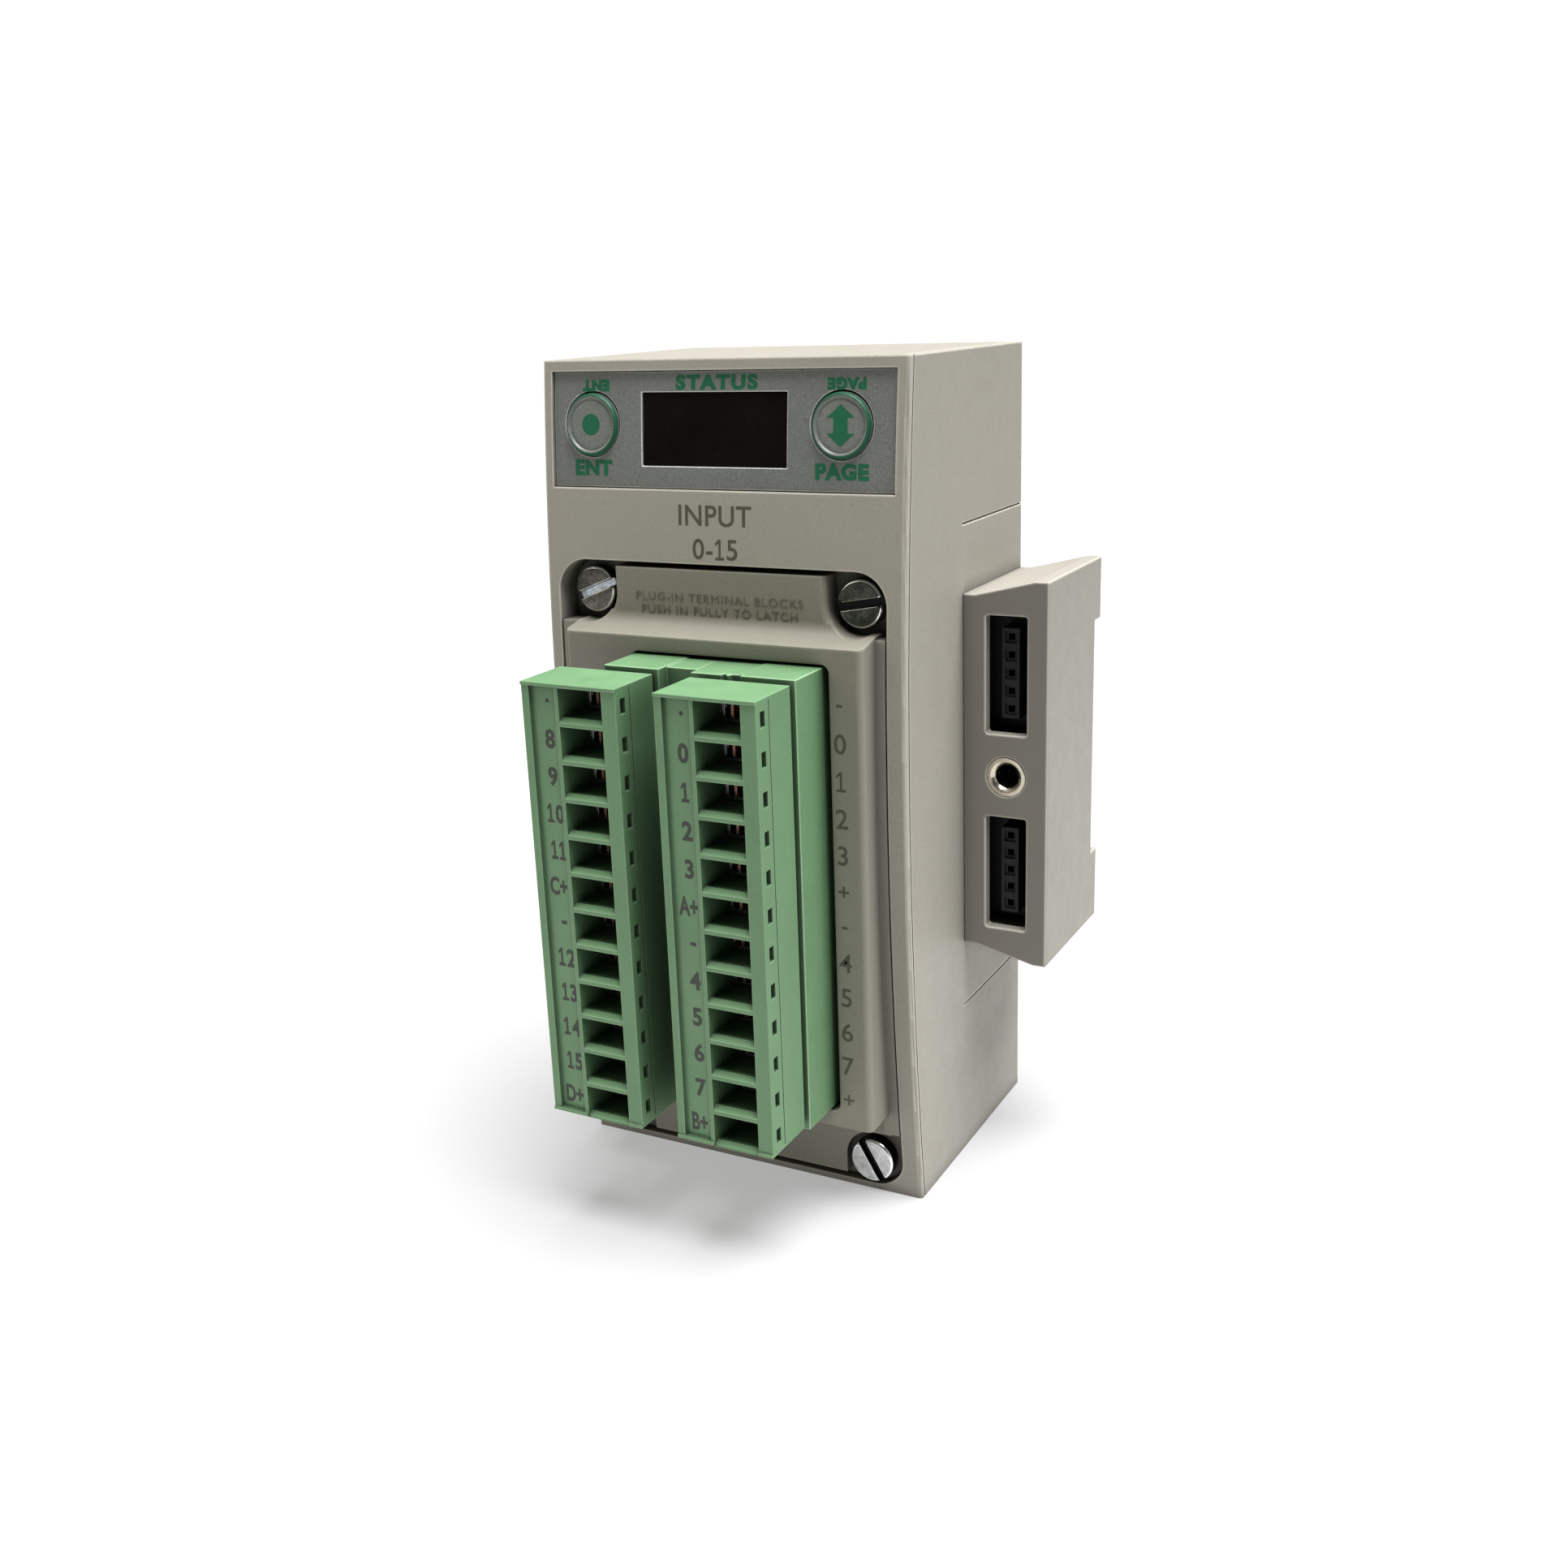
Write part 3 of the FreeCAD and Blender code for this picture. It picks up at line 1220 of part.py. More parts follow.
def clip_screws():
    """The two screws that hold the clip, driven from inside the side cover."""
    items = []
    for number, (y, z) in enumerate(CLIP_SCREWS):
        head = rod(f"clip_screw_head{number}", "X", (COVER_INNER - 1.6, y, z), Size(2.4), Size(1.6))
        shank = rod(f"clip_screw_shank{number}", "X", (COVER_INNER - 0.1, y, z), Size(1.2), Size(7.6))
        solid = joined(f"clip_screw_solid{number}", [head, shank])
        slot = block(f"clip_screw_slot{number}", (COVER_INNER - 2.6, COVER_INNER - 0.9),
                     (y - 0.35, y + 0.35), (z - 3, z + 3))
        items.append(cut(f"clip_screw{number}", solid, [slot]))
    return keep("clip_screws", grouped("clip_screws", items))


# ---------------------------------------------------------------- build, check, write

def build():
    housing_shell()
    side_cover()
    terminal_plate()
    plate_screws()
    overlay_membrane()
    display_window()
    display_module()
    key_parts()
    boards()
    board_screws()
    board_parts()
    display_link()
    for side in ("left", "right"):
        header(side)
        header_pins(side)
        plug_body(side)
        plug_metal(side)
    bus_clip()
    clip_insert()
    clip_screws()
    bus_sockets()
    bus_pins()
    doc.recompute()


def check():
    """Stops if any object failed or any sub-part is not sound."""
    for item in doc.Objects:
        if "Invalid" in item.State or "Error" in item.State:
            raise RuntimeError(f"{item.Label} failed: {item.State}")
    for name, item in NODES.items():
        if item.Shape.isNull() or not item.Shape.isValid():
            raise RuntimeError(f"{name} is not a valid shape")
        if not item.Shape.Solids:
            raise RuntimeError(f"{name} holds no solid")


def write():
    os.makedirs("parts", exist_ok=True)
    for name, item in NODES.items():
        item.Shape.exportStep(f"parts/{name}.step")
        solids = item.Shape.Solids
        print(f"{name:24s} {len(solids):3d} solids {sum(s.Volume for s in solids):10.1f} mm3")


build()
check()
write()
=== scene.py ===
"""Looks of the controller's input module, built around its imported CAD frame."""
import json
import math
import re

import bmesh
import bpy
from mathutils import Matrix, Vector


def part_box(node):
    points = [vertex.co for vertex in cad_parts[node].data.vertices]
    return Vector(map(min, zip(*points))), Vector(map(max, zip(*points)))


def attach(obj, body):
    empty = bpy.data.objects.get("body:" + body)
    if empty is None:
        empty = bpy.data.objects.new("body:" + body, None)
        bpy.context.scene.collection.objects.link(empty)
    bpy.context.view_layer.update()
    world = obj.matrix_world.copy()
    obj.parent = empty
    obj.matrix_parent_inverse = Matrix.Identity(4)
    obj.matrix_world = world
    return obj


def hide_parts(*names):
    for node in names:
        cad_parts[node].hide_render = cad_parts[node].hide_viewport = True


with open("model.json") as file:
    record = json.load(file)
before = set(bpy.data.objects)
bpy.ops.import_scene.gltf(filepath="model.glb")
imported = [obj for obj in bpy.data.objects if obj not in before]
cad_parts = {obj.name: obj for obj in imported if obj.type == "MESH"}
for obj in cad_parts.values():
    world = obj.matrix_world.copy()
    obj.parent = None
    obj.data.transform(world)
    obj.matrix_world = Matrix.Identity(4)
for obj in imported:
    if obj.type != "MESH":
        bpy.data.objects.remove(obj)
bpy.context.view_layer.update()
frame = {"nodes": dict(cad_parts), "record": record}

MM = 0.001
NODES = frame["nodes"]
SCENE = bpy.context.scene

# ---------------------------------------------------------------- places taken from the CAD

SHELL_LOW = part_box("housing_shell")[0]
BOW_RADIUS = 500 * MM        # the front is bowed about an axis along X
BOW_CENTRE_Z = 59.6 * MM


def bow_y(z, inset=0.0):
    """Y of the bowed front at height z, or of the concentric surface this far inside it."""
    radius = BOW_RADIUS - inset
    return SHELL_LOW.y + BOW_RADIUS - math.sqrt(radius * radius - (z - BOW_CENTRE_Z) ** 2)


def middle(node):
    low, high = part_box(node)
    return (low + high) / 2


# ---------------------------------------------------------------- materials

# Sockets of the colour Mix node, which shares its names between its data types.
MIX_FACTOR, MIX_FIRST, MIX_SECOND, MIX_RESULT = 0, 6, 7, 2


class Look:
    """A node material with object coordinates in metres, built step by step."""

    def __init__(self, name, roughness=0.5, metallic=0.0, specular=0.5):
        self.material = bpy.data.materials.new(name)
        self.material.use_nodes = True
        self.tree = self.material.node_tree
        self.shader = self.tree.nodes["Principled BSDF"]
        self.put(self.shader, {"Roughness": roughness, "Metallic": metallic,
                               "Specular IOR Level": specular})
        self.where = self.add("ShaderNodeTexCoord").outputs["Object"]
        self.bumps = None

    def add(self, kind, **values):
        node = self.tree.nodes.new(kind)
        for key, value in values.items():
            setattr(node, key, value)
        return node

    def put(self, node, values):
        """Links or sets inputs, named as Blender names them or by number."""
        for key, value in values.items():
            socket = node.inputs[key]
            if isinstance(value, bpy.types.NodeSocket):
                self.tree.links.new(value, socket)
            else:
                socket.default_value = value
        return node

    def noise(self, scale, detail=2.0, rough=0.5, stretch=None, lumps=0.0):
        where = self.where
        if stretch:
            mapping = self.put(self.add("ShaderNodeMapping"), {"Vector": where, "Scale": stretch})
            where = mapping.outputs["Vector"]
        node = self.put(self.add("ShaderNodeTexNoise"), {
            "Vector": where, "Scale": scale, "Detail": detail, "Roughness": rough,
            "Distortion": lumps})
        return node.outputs["Fac"]

    def spread(self, value, low, high, out_low=0.0, out_high=1.0):
        """Maps the range low to high onto out_low to out_high, and no further."""
        node = self.put(self.add("ShaderNodeMapRange"), {
            "Value": value, "From Min": low, "From Max": high, "To Min": out_low,
            "To Max": out_high})
        return node.outputs["Result"]

    def mix(self, factor, first, second):
        """The first colour where the factor is 0, the second where it is 1."""
        node = self.add("ShaderNodeMix", data_type="RGBA")
        colours = [value if isinstance(value, bpy.types.NodeSocket) else (*value, 1.0)
                   for value in (first, second)]
        self.put(node, {MIX_FACTOR: factor, MIX_FIRST: colours[0], MIX_SECOND: colours[1]})
        return node.outputs[MIX_RESULT]

    def axes(self, vector):
        """The X, Y and Z of a vector as outputs."""
        return self.put(self.add("ShaderNodeSeparateXYZ"), {"Vector": vector}).outputs

    def product(self, first, second):
        node = self.add("ShaderNodeMath", operation="MULTIPLY")
        return self.put(node, {0: first, 1: second}).outputs["Value"]

    def openness(self, reach):
        """1 on open surfaces, falling to 0 deep in corners and crevices."""
        node = self.add("ShaderNodeAmbientOcclusion", samples=6)
        return self.put(node, {"Distance": reach}).outputs["AO"]

    def round_corners(self, radius):
        """Shades sharp corners as rounded; returns 1 along convex edges and 0 elsewhere."""
        rounded = self.put(self.add("ShaderNodeBevel", samples=4), {"Radius": radius})
        self.bumps = rounded.outputs["Normal"]
        self.put(self.shader, {"Normal": self.bumps})
        flat = self.add("ShaderNodeNewGeometry").outputs["Normal"]
        dot = self.add("ShaderNodeVectorMath", operation="DOT_PRODUCT")
        self.put(dot, {0: self.bumps, 1: flat})
        turned = self.spread(dot.outputs["Value"], 0.999, 0.965)
        return self.product(turned, self.spread(self.openness(radius * 2), 0.62, 0.85))

    def colour(self, value):
        self.put(self.shader, {"Base Color": value})

    def roughness(self, value):
        self.put(self.shader, {"Roughness": value})

    def bump(self, height, strength, distance):
        """Adds fine relief on top of the normals set so far; distance is in millimetres."""
        node = self.put(self.add("ShaderNodeBump"), {
            "Strength": strength, "Distance": distance * MM, "Height": height})
        if self.bumps:
            self.put(node, {"Normal": self.bumps})
        self.bumps = node.outputs["Normal"]
        self.put(self.shader, {"Normal": self.bumps})


def tint(colour, amount):
    return tuple(min(1.0, part * amount) for part in colour)


def moulded(name, colour, shade=0.42, edge=2.6, corner=0.4, shaded_face=None):
    """Spark-eroded moulded plastic: fine grain, painted shade in crevices, painted highlight on
    edges.

    shade and edge are the tints of the painted shade in crevices and the painted highlight on
    edges, and corner is the edges' radius in millimetres. The last argument is the Y of a front
    face painted darker as shade, if there is one."""
    look = Look(name, specular=0.42)
    edge_highlight = look.round_corners(corner * MM)
    cloud = look.noise(45.0, 2.0, 0.5)
    fine = look.noise(4200.0, 2.0, 0.6)
    base = look.mix(look.spread(cloud, 0.3, 0.7), tint(colour, 0.96), tint(colour, 1.04))
    grainy = look.mix(look.spread(fine, 0.3, 0.7), base, tint(colour, 1.16))
    rubbed = look.noise(26.0, 4.0, 0.7, stretch=(1.0, 1.0, 0.35))
    grainy = look.mix(look.spread(rubbed, 0.56, 0.72, 0.0, 0.16), grainy, tint(colour, 1.3))
    speck = look.noise(1500.0, 1.0, 0.4)
    grainy = look.mix(look.spread(speck, 0.74, 0.8, 0.0, 0.35), grainy, tint(colour, 0.7))
    # Painted shade: this front face is darker than the faces just behind it.
    if shaded_face is not None:
        behind = look.spread(look.axes(look.where)["Y"], shaded_face + 0.25 * MM, shaded_face + 0.6 * MM)
        grainy = look.mix(behind, tint(colour, 0.68), grainy)
    # Painted highlight: convex edges are lightened.
    grainy = look.mix(edge_highlight, grainy, tint(colour, edge))
    # Painted shade: crevices and recesses are darkened.
    look.colour(look.mix(look.spread(look.openness(3.2 * MM), 0.25, 0.82),
                         tint(colour, shade), grainy))
    look.roughness(look.spread(look.noise(300.0, 3.0, 0.6), 0.3, 0.7, 0.46, 0.62))
    look.bump(fine, 0.35, 0.04)
    look.bump(look.noise(1500.0, 2.0, 0.5), 0.16, 0.05)
    return look.material


# Colour of the painted highlight along the terminal plastic's edges.
HIGHLIGHT_GREEN = (0.27, 0.43, 0.25)


def green_moulded(name, colour):
    """Terminal plastic: smooth, slightly waxy, with faint flow marks, painted highlight on edges
    and painted shade in crevices and between parts.
    """
    look = Look(name, specular=0.5)
    edge_highlight = look.round_corners(0.22 * MM)
    cloud = look.noise(90.0, 4.0, 0.6)
    flow = look.noise(160.0, 3.0, 0.55, stretch=(1.0, 1.0, 0.25))
    base = look.mix(look.spread(cloud, 0.3, 0.7), tint(colour, 0.93), tint(colour, 1.07))
    base = look.mix(look.spread(flow, 0.5, 0.78, 0.0, 0.3), base, tint(colour, 1.3))
    fine = look.noise(3600.0, 2.0, 0.6)
    base = look.mix(look.spread(fine, 0.4, 0.7, 0.0, 0.22), base, tint(colour, 1.4))
    # Painted highlight: convex edges are lightened.
    base = look.mix(edge_highlight, base, HIGHLIGHT_GREEN)
    # Painted shade: darker where parts stand close, as between the plugs, and darker still in
    # crevices and openings.
    base = look.mix(look.spread(look.openness(12 * MM), 0.3, 0.75), tint(colour, 0.42), base)
    look.colour(look.mix(look.spread(look.openness(3 * MM), 0.2, 0.85), tint(colour, 0.3), base))
    look.roughness(look.spread(look.noise(220.0, 3.0, 0.6), 0.3, 0.7, 0.36, 0.52))
    look.bump(fine, 0.14, 0.04)
    look.put(look.shader, {"Subsurface Weight": 0.08, "Subsurface Radius": (0.25, 0.6, 0.25),
                           "Subsurface Scale": 1 * MM})
    return look.material


def film(name, colour):
    """Printed polyester film: satin, with the pale speckle of its screened ink."""
    look = Look(name, specular=0.5)
    cloud = look.noise(60.0, 2.0, 0.5)
    speck = look.noise(3600.0, 1.0, 0.4)
    base = look.mix(look.spread(cloud, 0.3, 0.7), tint(colour, 0.95), tint(colour, 1.05))
    pale = look.mix(look.spread(speck, 0.5, 0.68, 0.0, 0.6), base, tint(colour, 1.45))
    dark = look.noise(2800.0, 1.0, 0.4)
    look.colour(look.mix(look.spread(dark, 0.6, 0.72, 0.0, 0.5), pale, tint(colour, 0.6)))
    look.roughness(look.spread(look.noise(500.0, 2.0, 0.5), 0.3, 0.7, 0.34, 0.46))
    look.bump(speck, 0.12, 0.03)
    return look.material


def ink(name, colour, wear=0.25):
    """Screen-printed ink, a little uneven."""
    look = Look(name, specular=0.45)
    patch = look.noise(1300.0, 3.0, 0.65)
    look.colour(look.mix(look.spread(patch, 0.45, 0.8, 0.0, wear), colour, tint(colour, 1.9)))
    look.roughness(look.spread(patch, 0.3, 0.7, 0.45, 0.62))
    return look.material


def metal(name, colour, rough=(0.22, 0.4)):
    """Plated metal with fine handling marks."""
    look = Look(name, metallic=1.0)
    cloud = look.noise(320.0, 3.0, 0.6)
    look.colour(look.mix(look.spread(cloud, 0.35, 0.7), tint(colour, 0.8), tint(colour, 1.1)))
    marks = look.noise(1800.0, 3.0, 0.6)
    look.roughness(look.spread(marks, 0.3, 0.7, *rough))
    look.bump(marks, 0.2, 0.03)
    return look.material


def head_metal(name, colour, face, sink, upper):
    """Zinc plated screw: turned face at Y = face, painted highlight on rims, painted shade in slot
    and sides.

    The screws above Z = upper are painted darker than those below it, as a dark painted
    reflection, and the floor of the upper left one's slot has a painted highlight."""
    look = Look(name, metallic=1.0)
    cloud = look.noise(700.0, 4.0, 0.65)
    head_tone = look.mix(look.spread(cloud, 0.35, 0.7), tint(colour, 0.7), tint(colour, 1.25))
    place = look.axes(look.where)
    # Painted reflection: above Z = upper the heads get dark, mottled colours, lighter on the left
    # screw than the right.
    mottle = look.spread(cloud, 0.4, 0.75)
    left = look.spread(place["X"], 0.0, -1 * MM)
    dark_reflection = look.mix(left, look.mix(mottle, (0.042, 0.042, 0.036), (0.125, 0.122, 0.108)),
                    look.mix(mottle, (0.095, 0.090, 0.075), (0.23, 0.22, 0.19)))
    higher = look.spread(place["Z"], upper, upper + 1 * MM)
    head_tone = look.mix(higher, head_tone, dark_reflection)
    # Painted highlight: a pale band just behind the turned face, on the rounded rim and the slot's
    # edges.
    rim_highlight = look.spread(place["Y"], face + 0.01 * MM, face + 0.04 * MM)
    head_tone = look.mix(rim_highlight, head_tone, (0.95, 0.96, 0.96))
    # Painted shade: deeper than half the sink, the slot and the head's sides are dark.
    sunk = look.spread(place["Y"], face + sink * 0.5, face + sink)
    facing = look.axes(look.add("ShaderNodeNewGeometry").outputs["Normal"])
    # Painted highlight: the front-facing floor of the upper left screw's slot is bright.
    slot_highlight = look.product(look.spread(facing["Y"], -0.9, -0.99), left)
    bright = look.mix(look.spread(cloud, 0.3, 0.6), (0.30, 0.32, 0.34), (0.78, 0.84, 0.90))
    dark = (0.012, 0.013, 0.013)
    slot = look.mix(higher, dark, look.mix(slot_highlight, dark, bright))
    look.colour(look.mix(sunk, head_tone, slot))
    marks = look.noise(2600.0, 3.0, 0.6)
    look.roughness(look.spread(marks, 0.3, 0.7, 0.14, 0.3))
    look.bump(marks, 0.25, 0.04)
    return look.material


def matt(name, colour, rough=(0.5, 0.7)):
    """Plain matt plastic or lacquer with a soft grain."""
    look = Look(name, specular=0.4)
    cloud = look.noise(200.0, 3.0, 0.6)
    look.colour(look.mix(look.spread(cloud, 0.3, 0.7), tint(colour, 0.8), tint(colour, 1.25)))
    fine = look.noise(1500.0, 2.0, 0.6)
    look.roughness(look.spread(fine, 0.3, 0.7, *rough))
    look.bump(fine, 0.2, 0.04)
    return look.material


def laminate(name, colour):
    """Circuit board: solder mask over a woven base, with faint copper areas under it."""
    look = Look(name, specular=0.55)
    weave = look.noise(1100.0, 1.0, 0.4)
    copper = look.noise(140.0, 1.0, 0.3, lumps=1.5)
    base = look.mix(look.spread(copper, 0.5, 0.53), tint(colour, 0.8), tint(colour, 1.5))
    look.colour(look.mix(look.spread(weave, 0.4, 0.7, 0.0, 0.3), base, tint(colour, 1.3)))
    look.roughness(look.spread(weave, 0.3, 0.7, 0.28, 0.42))
    look.bump(weave, 0.15, 0.04)
    return look.material


def smoked(name):
    """Dark tinted lens: glossy, with faint dust and hairline wipes."""
    look = Look(name, specular=0.12)
    dust = look.noise(2200.0, 1.0, 0.4)
    cloud = look.noise(120.0, 2.0, 0.5)
    base = look.mix(look.spread(cloud, 0.3, 0.7),
                    (0.0045, 0.0032, 0.0026), (0.0075, 0.0055, 0.0045))
    look.colour(look.mix(look.spread(dust, 0.72, 0.8, 0.0, 0.25), base, (0.05, 0.045, 0.04)))
    look.roughness(look.spread(look.noise(400.0, 3.0, 0.6), 0.3, 0.7, 0.16, 0.28))
    return look.material


PUTTY = (0.300, 0.280, 0.238)
GREEN = (0.124, 0.240, 0.116)

LOOKS = {
    "housing_plastic": moulded("putty_plastic", PUTTY),
    "cover_plastic": moulded("putty_cover", tint(PUTTY, 1.02)),
    "clip_plastic": moulded("putty_clip", tint(PUTTY, 0.98), edge=1.5,
                            shaded_face=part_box("bus_clip")[0].y),
    "overlay_film": film("overlay_film", (0.165, 0.170, 0.158)),
    "key_film": film("key_film", (0.170, 0.178, 0.162)),
    "smoked_window": smoked("smoked_lens"),
    "display_black": matt("display_black", (0.012, 0.010, 0.010)),
    "terminal_green": green_moulded("terminal_green", GREEN),
    "connector_black": matt("connector_black", (0.0035, 0.0035, 0.0042), rough=(0.45, 0.58)),
    "board_green": laminate("board_green", (0.020, 0.110, 0.045)),
    "component_black": matt("component_black", (0.010, 0.010, 0.010)),
    "component_white": matt("component_white", (0.62, 0.61, 0.56)),
    "capacitor_can": metal("capacitor_can", (0.72, 0.73, 0.75)),
    "zinc_steel": metal("zinc_steel", (0.55, 0.55, 0.53), rough=(0.16, 0.32)),
    "tinned_contact": metal("tinned_copper", (0.36, 0.20, 0.14), rough=(0.2, 0.34)),
    "insert_brass": metal("nickel_brass", (0.70, 0.64, 0.52), rough=(0.16, 0.3)),
}
PRINT_GREEN = ink("print_green", (0.003, 0.112, 0.048))
RING_GREEN = ink("ring_green", (0.004, 0.080, 0.038))
PRINT_GREY = ink("print_grey", (0.042, 0.046, 0.036))
ETCHED = ink("etched_grey", (0.074, 0.066, 0.050), wear=0.35)
RAISED = ink("raised_text", (0.130, 0.118, 0.092), wear=0.35)

# A darker copy of the putty, with deeper crevice shade: painted shade on the recessed plate under
# its ledge.
PLATE_PUTTY = (0.215, 0.203, 0.163)
OWN_LOOKS = {
    "terminal_plate": moulded("putty_plate", PLATE_PUTTY, shade=0.3, edge=1.45, corner=0.5),
    "plate_screws": head_metal("screw_steel", (0.55, 0.56, 0.55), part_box("plate_screws")[0].y,
                               sink=0.45 * MM, upper=45 * MM),
}
# Bevelled edges get lighter copies of their plastic and film: painted highlight along the edges.
EDGE_LOOKS = {
    "clip_plastic": moulded("putty_clip_edge", tint(PUTTY, 1.2), edge=1.3),
    "terminal_green": green_moulded("terminal_green_edge", (0.30, 0.46, 0.27)),
    "overlay_film": film("overlay_edge_highlight", (0.58, 0.58, 0.55)),
}

SLOT_OF = {row["node"]: row["material_slot"] for row in frame["record"]["subparts"]}

# ---------------------------------------------------------------- CAD nodes: edges and materials

# Width of the rounded edges in millimetres; the other nodes keep theirs, or shade them round.
EDGE_WIDTH = {
    "bus_clip": 0.20,
    "overlay_membrane": 0.12,
    "display_window": 0.08,
    "header_left": 0.11,
    "header_right": 0.11,
    "plate_screws": 0.12,
    "clip_insert": 0.08,
    "bus_socket_upper": 0.08,
    "bus_socket_lower": 0.08,
    "clamp_cages_left": 0.08,
    "clamp_cages_right": 0.08,
    "contacts_left": 0.04,
    "contacts_right": 0.04,
    "smoothing_capacitors": 0.3,
}
SHARP = math.radians(28)
# On these nodes the full width fits everywhere, so it isn't held back by their short edges.
FREE_EDGES = {"bus_clip", "overlay_membrane", "plate_screws", "header_left", "header_right"}


def soften(node_object, width, edge_slot, clamp):
    """Rounds a CAD node's sharp edges with modifiers, which leave its own mesh as it is."""
    weld = node_object.modifiers.new("weld", "WELD")
    weld.merge_threshold = 1e-6
    flat = node_object.modifiers.new("flat", "DECIMATE")
    flat.decimate_type = "DISSOLVE"
    flat.angle_limit = math.radians(0.15)
    bevel = node_object.modifiers.new("edges", "BEVEL")
    bevel.width = width * MM
    bevel.segments = 2
    bevel.limit_method = "ANGLE"
    bevel.angle_limit = SHARP
    bevel.use_clamp_overlap = clamp
    bevel.material = edge_slot
    normals = node_object.modifiers.new("normals", "WEIGHTED_NORMAL")
    normals.keep_sharp = True


for node_name, node_object in NODES.items():
    slot_name = SLOT_OF[node_name]
    node_object.data.materials.clear()
    node_object.data.materials.append(OWN_LOOKS.get(node_name, LOOKS[slot_name]))
    if slot_name in EDGE_LOOKS:
        node_object.data.materials.append(EDGE_LOOKS[slot_name])
    if node_name in EDGE_WIDTH:
        soften(node_object, EDGE_WIDTH[node_name], 1 if slot_name in EDGE_LOOKS else -1,
               node_name not in FREE_EDGES)

# ---------------------------------------------------------------- pieces made here


def piece(name, mesh, look, body):
    """Adds a mesh piece that rides on a CAD body."""
    made = bpy.data.objects.new(name, mesh)
    SCENE.collection.objects.link(made)
    made.data.materials.clear()
    made.data.materials.append(look)
    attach(made, body)
    return made


def slab(outline, near, far):
    """A flat shape in X and Z between two depths."""
    made = bmesh.new()
    front = [made.verts.new((x * MM, near * MM, z * MM)) for x, z in outline]
    back = [made.verts.new((x * MM, far * MM, z * MM)) for x, z in outline]
    made.faces.new(front)
    made.faces.new(back[::-1])
    for i in range(len(outline)):
        j = (i + 1) % len(outline)
        made.faces.new((front[j], front[i], back[i], back[j]))
    bmesh.ops.recalc_face_normals(made, faces=made.faces)
    mesh = bpy.data.meshes.new("slab")
    made.to_mesh(mesh)
    made.free()
    return mesh


def letters(words, height, bold=0.0, squeeze=1.0, spacing=1.0):
    """Outline of a line of text as a flat mesh in X and Z, centred on the origin."""
    curve = bpy.data.curves.new("letters", "FONT")
    curve.body = words
    curve.align_x = "CENTER"
    curve.size = 1.0
    curve.offset = bold
    curve.space_character = spacing
    curve.resolution_u = 6
    curve.extrude = 0.5
    holder = bpy.data.objects.new("letters", curve)
    SCENE.collection.objects.link(holder)
    bpy.context.view_layer.update()
    mesh = bpy.data.meshes.new_from_object(holder.evaluated_get(
        bpy.context.evaluated_depsgraph_get()))
    bpy.data.objects.remove(holder)
    bpy.data.curves.remove(curve)
    tops = [v.co.y for v in mesh.vertices]
    sides = [v.co.x for v in mesh.vertices]
    rise = max(tops) - min(tops)
    scale = height / rise
    centre_x = (max(sides) + min(sides)) / 2
    centre_y = (max(tops) + min(tops)) / 2
    for vertex in mesh.vertices:
        x, y, z = vertex.co
        vertex.co = ((x - centre_x) * scale * squeeze, -z, (y - centre_y) * scale)
    return mesh


def figure_one(height, stroke, squeeze):
    """The figure 1 with its flag and foot, which the built-in typeface draws as a bare stroke.

    The outline is one unit high. Towards its end the flag's upper side drops by 0.2 and its
    lower side by 0.14."""
    half, edge, top = stroke / 2, 0.25, 0.5
    outline = [(-edge, -top), (edge, -top), (edge, stroke - top), (half, stroke - top),
               (half, top), (-half, top), (-edge, top - 0.2), (-edge, top - 0.2 - stroke),
               (-half, top - 0.06 - stroke), (-half, stroke - top), (-edge, stroke - top)]
    scale = height / MM
    return slab([(x * scale * squeeze, z * scale) for x, z in outline], -1.0, 1.0)


STROKE, STROKE_PER_BOLD = 0.11, 1.6      # a figure 1's stroke, in heights
FIGURE_GAP = 0.14                        # space beside a figure 1, in heights


def line_of_text(words, height, bold=0.0, squeeze=1.0, spacing=1.0):
    """Outline of a line of text whose figures 1 are drawn apart, centred on the origin."""
    if "1" not in words:
        return letters(words, height, bold, squeeze, spacing)
    parts = [part for part in re.split("(1)", words) if part]
    meshes = [figure_one(height, STROKE + STROKE_PER_BOLD * bold, squeeze) if part == "1"
              else letters(part, height, bold, squeeze, spacing) for part in parts]
    widths = [max(v.co.x for v in mesh.vertices) * 2 for mesh in meshes]
    gap = FIGURE_GAP * height * squeeze * spacing
    start = -(sum(widths) + gap * (len(widths) - 1)) / 2
    joined = bmesh.new()
    for mesh, width in zip(meshes, widths):
        mesh.transform(Matrix.Translation((start + width / 2, 0, 0)))
        joined.from_mesh(mesh)
        start += width + gap
    whole = bpy.data.meshes.new("line_of_text")
    joined.to_mesh(whole)
    joined.free()
    return whole


ROOTED = 0.03 * MM        # how far the back of a letter lies inside the surface


def lettering(name, words, height, at, surface, look, body, slot, turned=False,
              proud=0.012, **style):
    """Text at (x, z) on y = surface(x, z), standing proud of it by so many millimetres."""
    mesh = line_of_text(words, height * MM, **style)
    for vertex in mesh.vertices:
        x, side, z = vertex.co
        if turned:
            x, z = -x, -z
        x, z = x + at[0], z + at[1]
        vertex.co = (x, surface(x, z) - (proud * MM if side < 0 else -ROOTED), z)
    mesh.update()
    return piece(name, mesh, look, body)


def on_front(x, z):
    return bow_y(z)


OVERLAY_INSET = 0.45 * MM


def on_overlay(x, z):
    return bow_y(z, OVERLAY_INSET)


PLATE_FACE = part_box("terminal_plate")[0].y


def on_plate(x, z):
    return PLATE_FACE


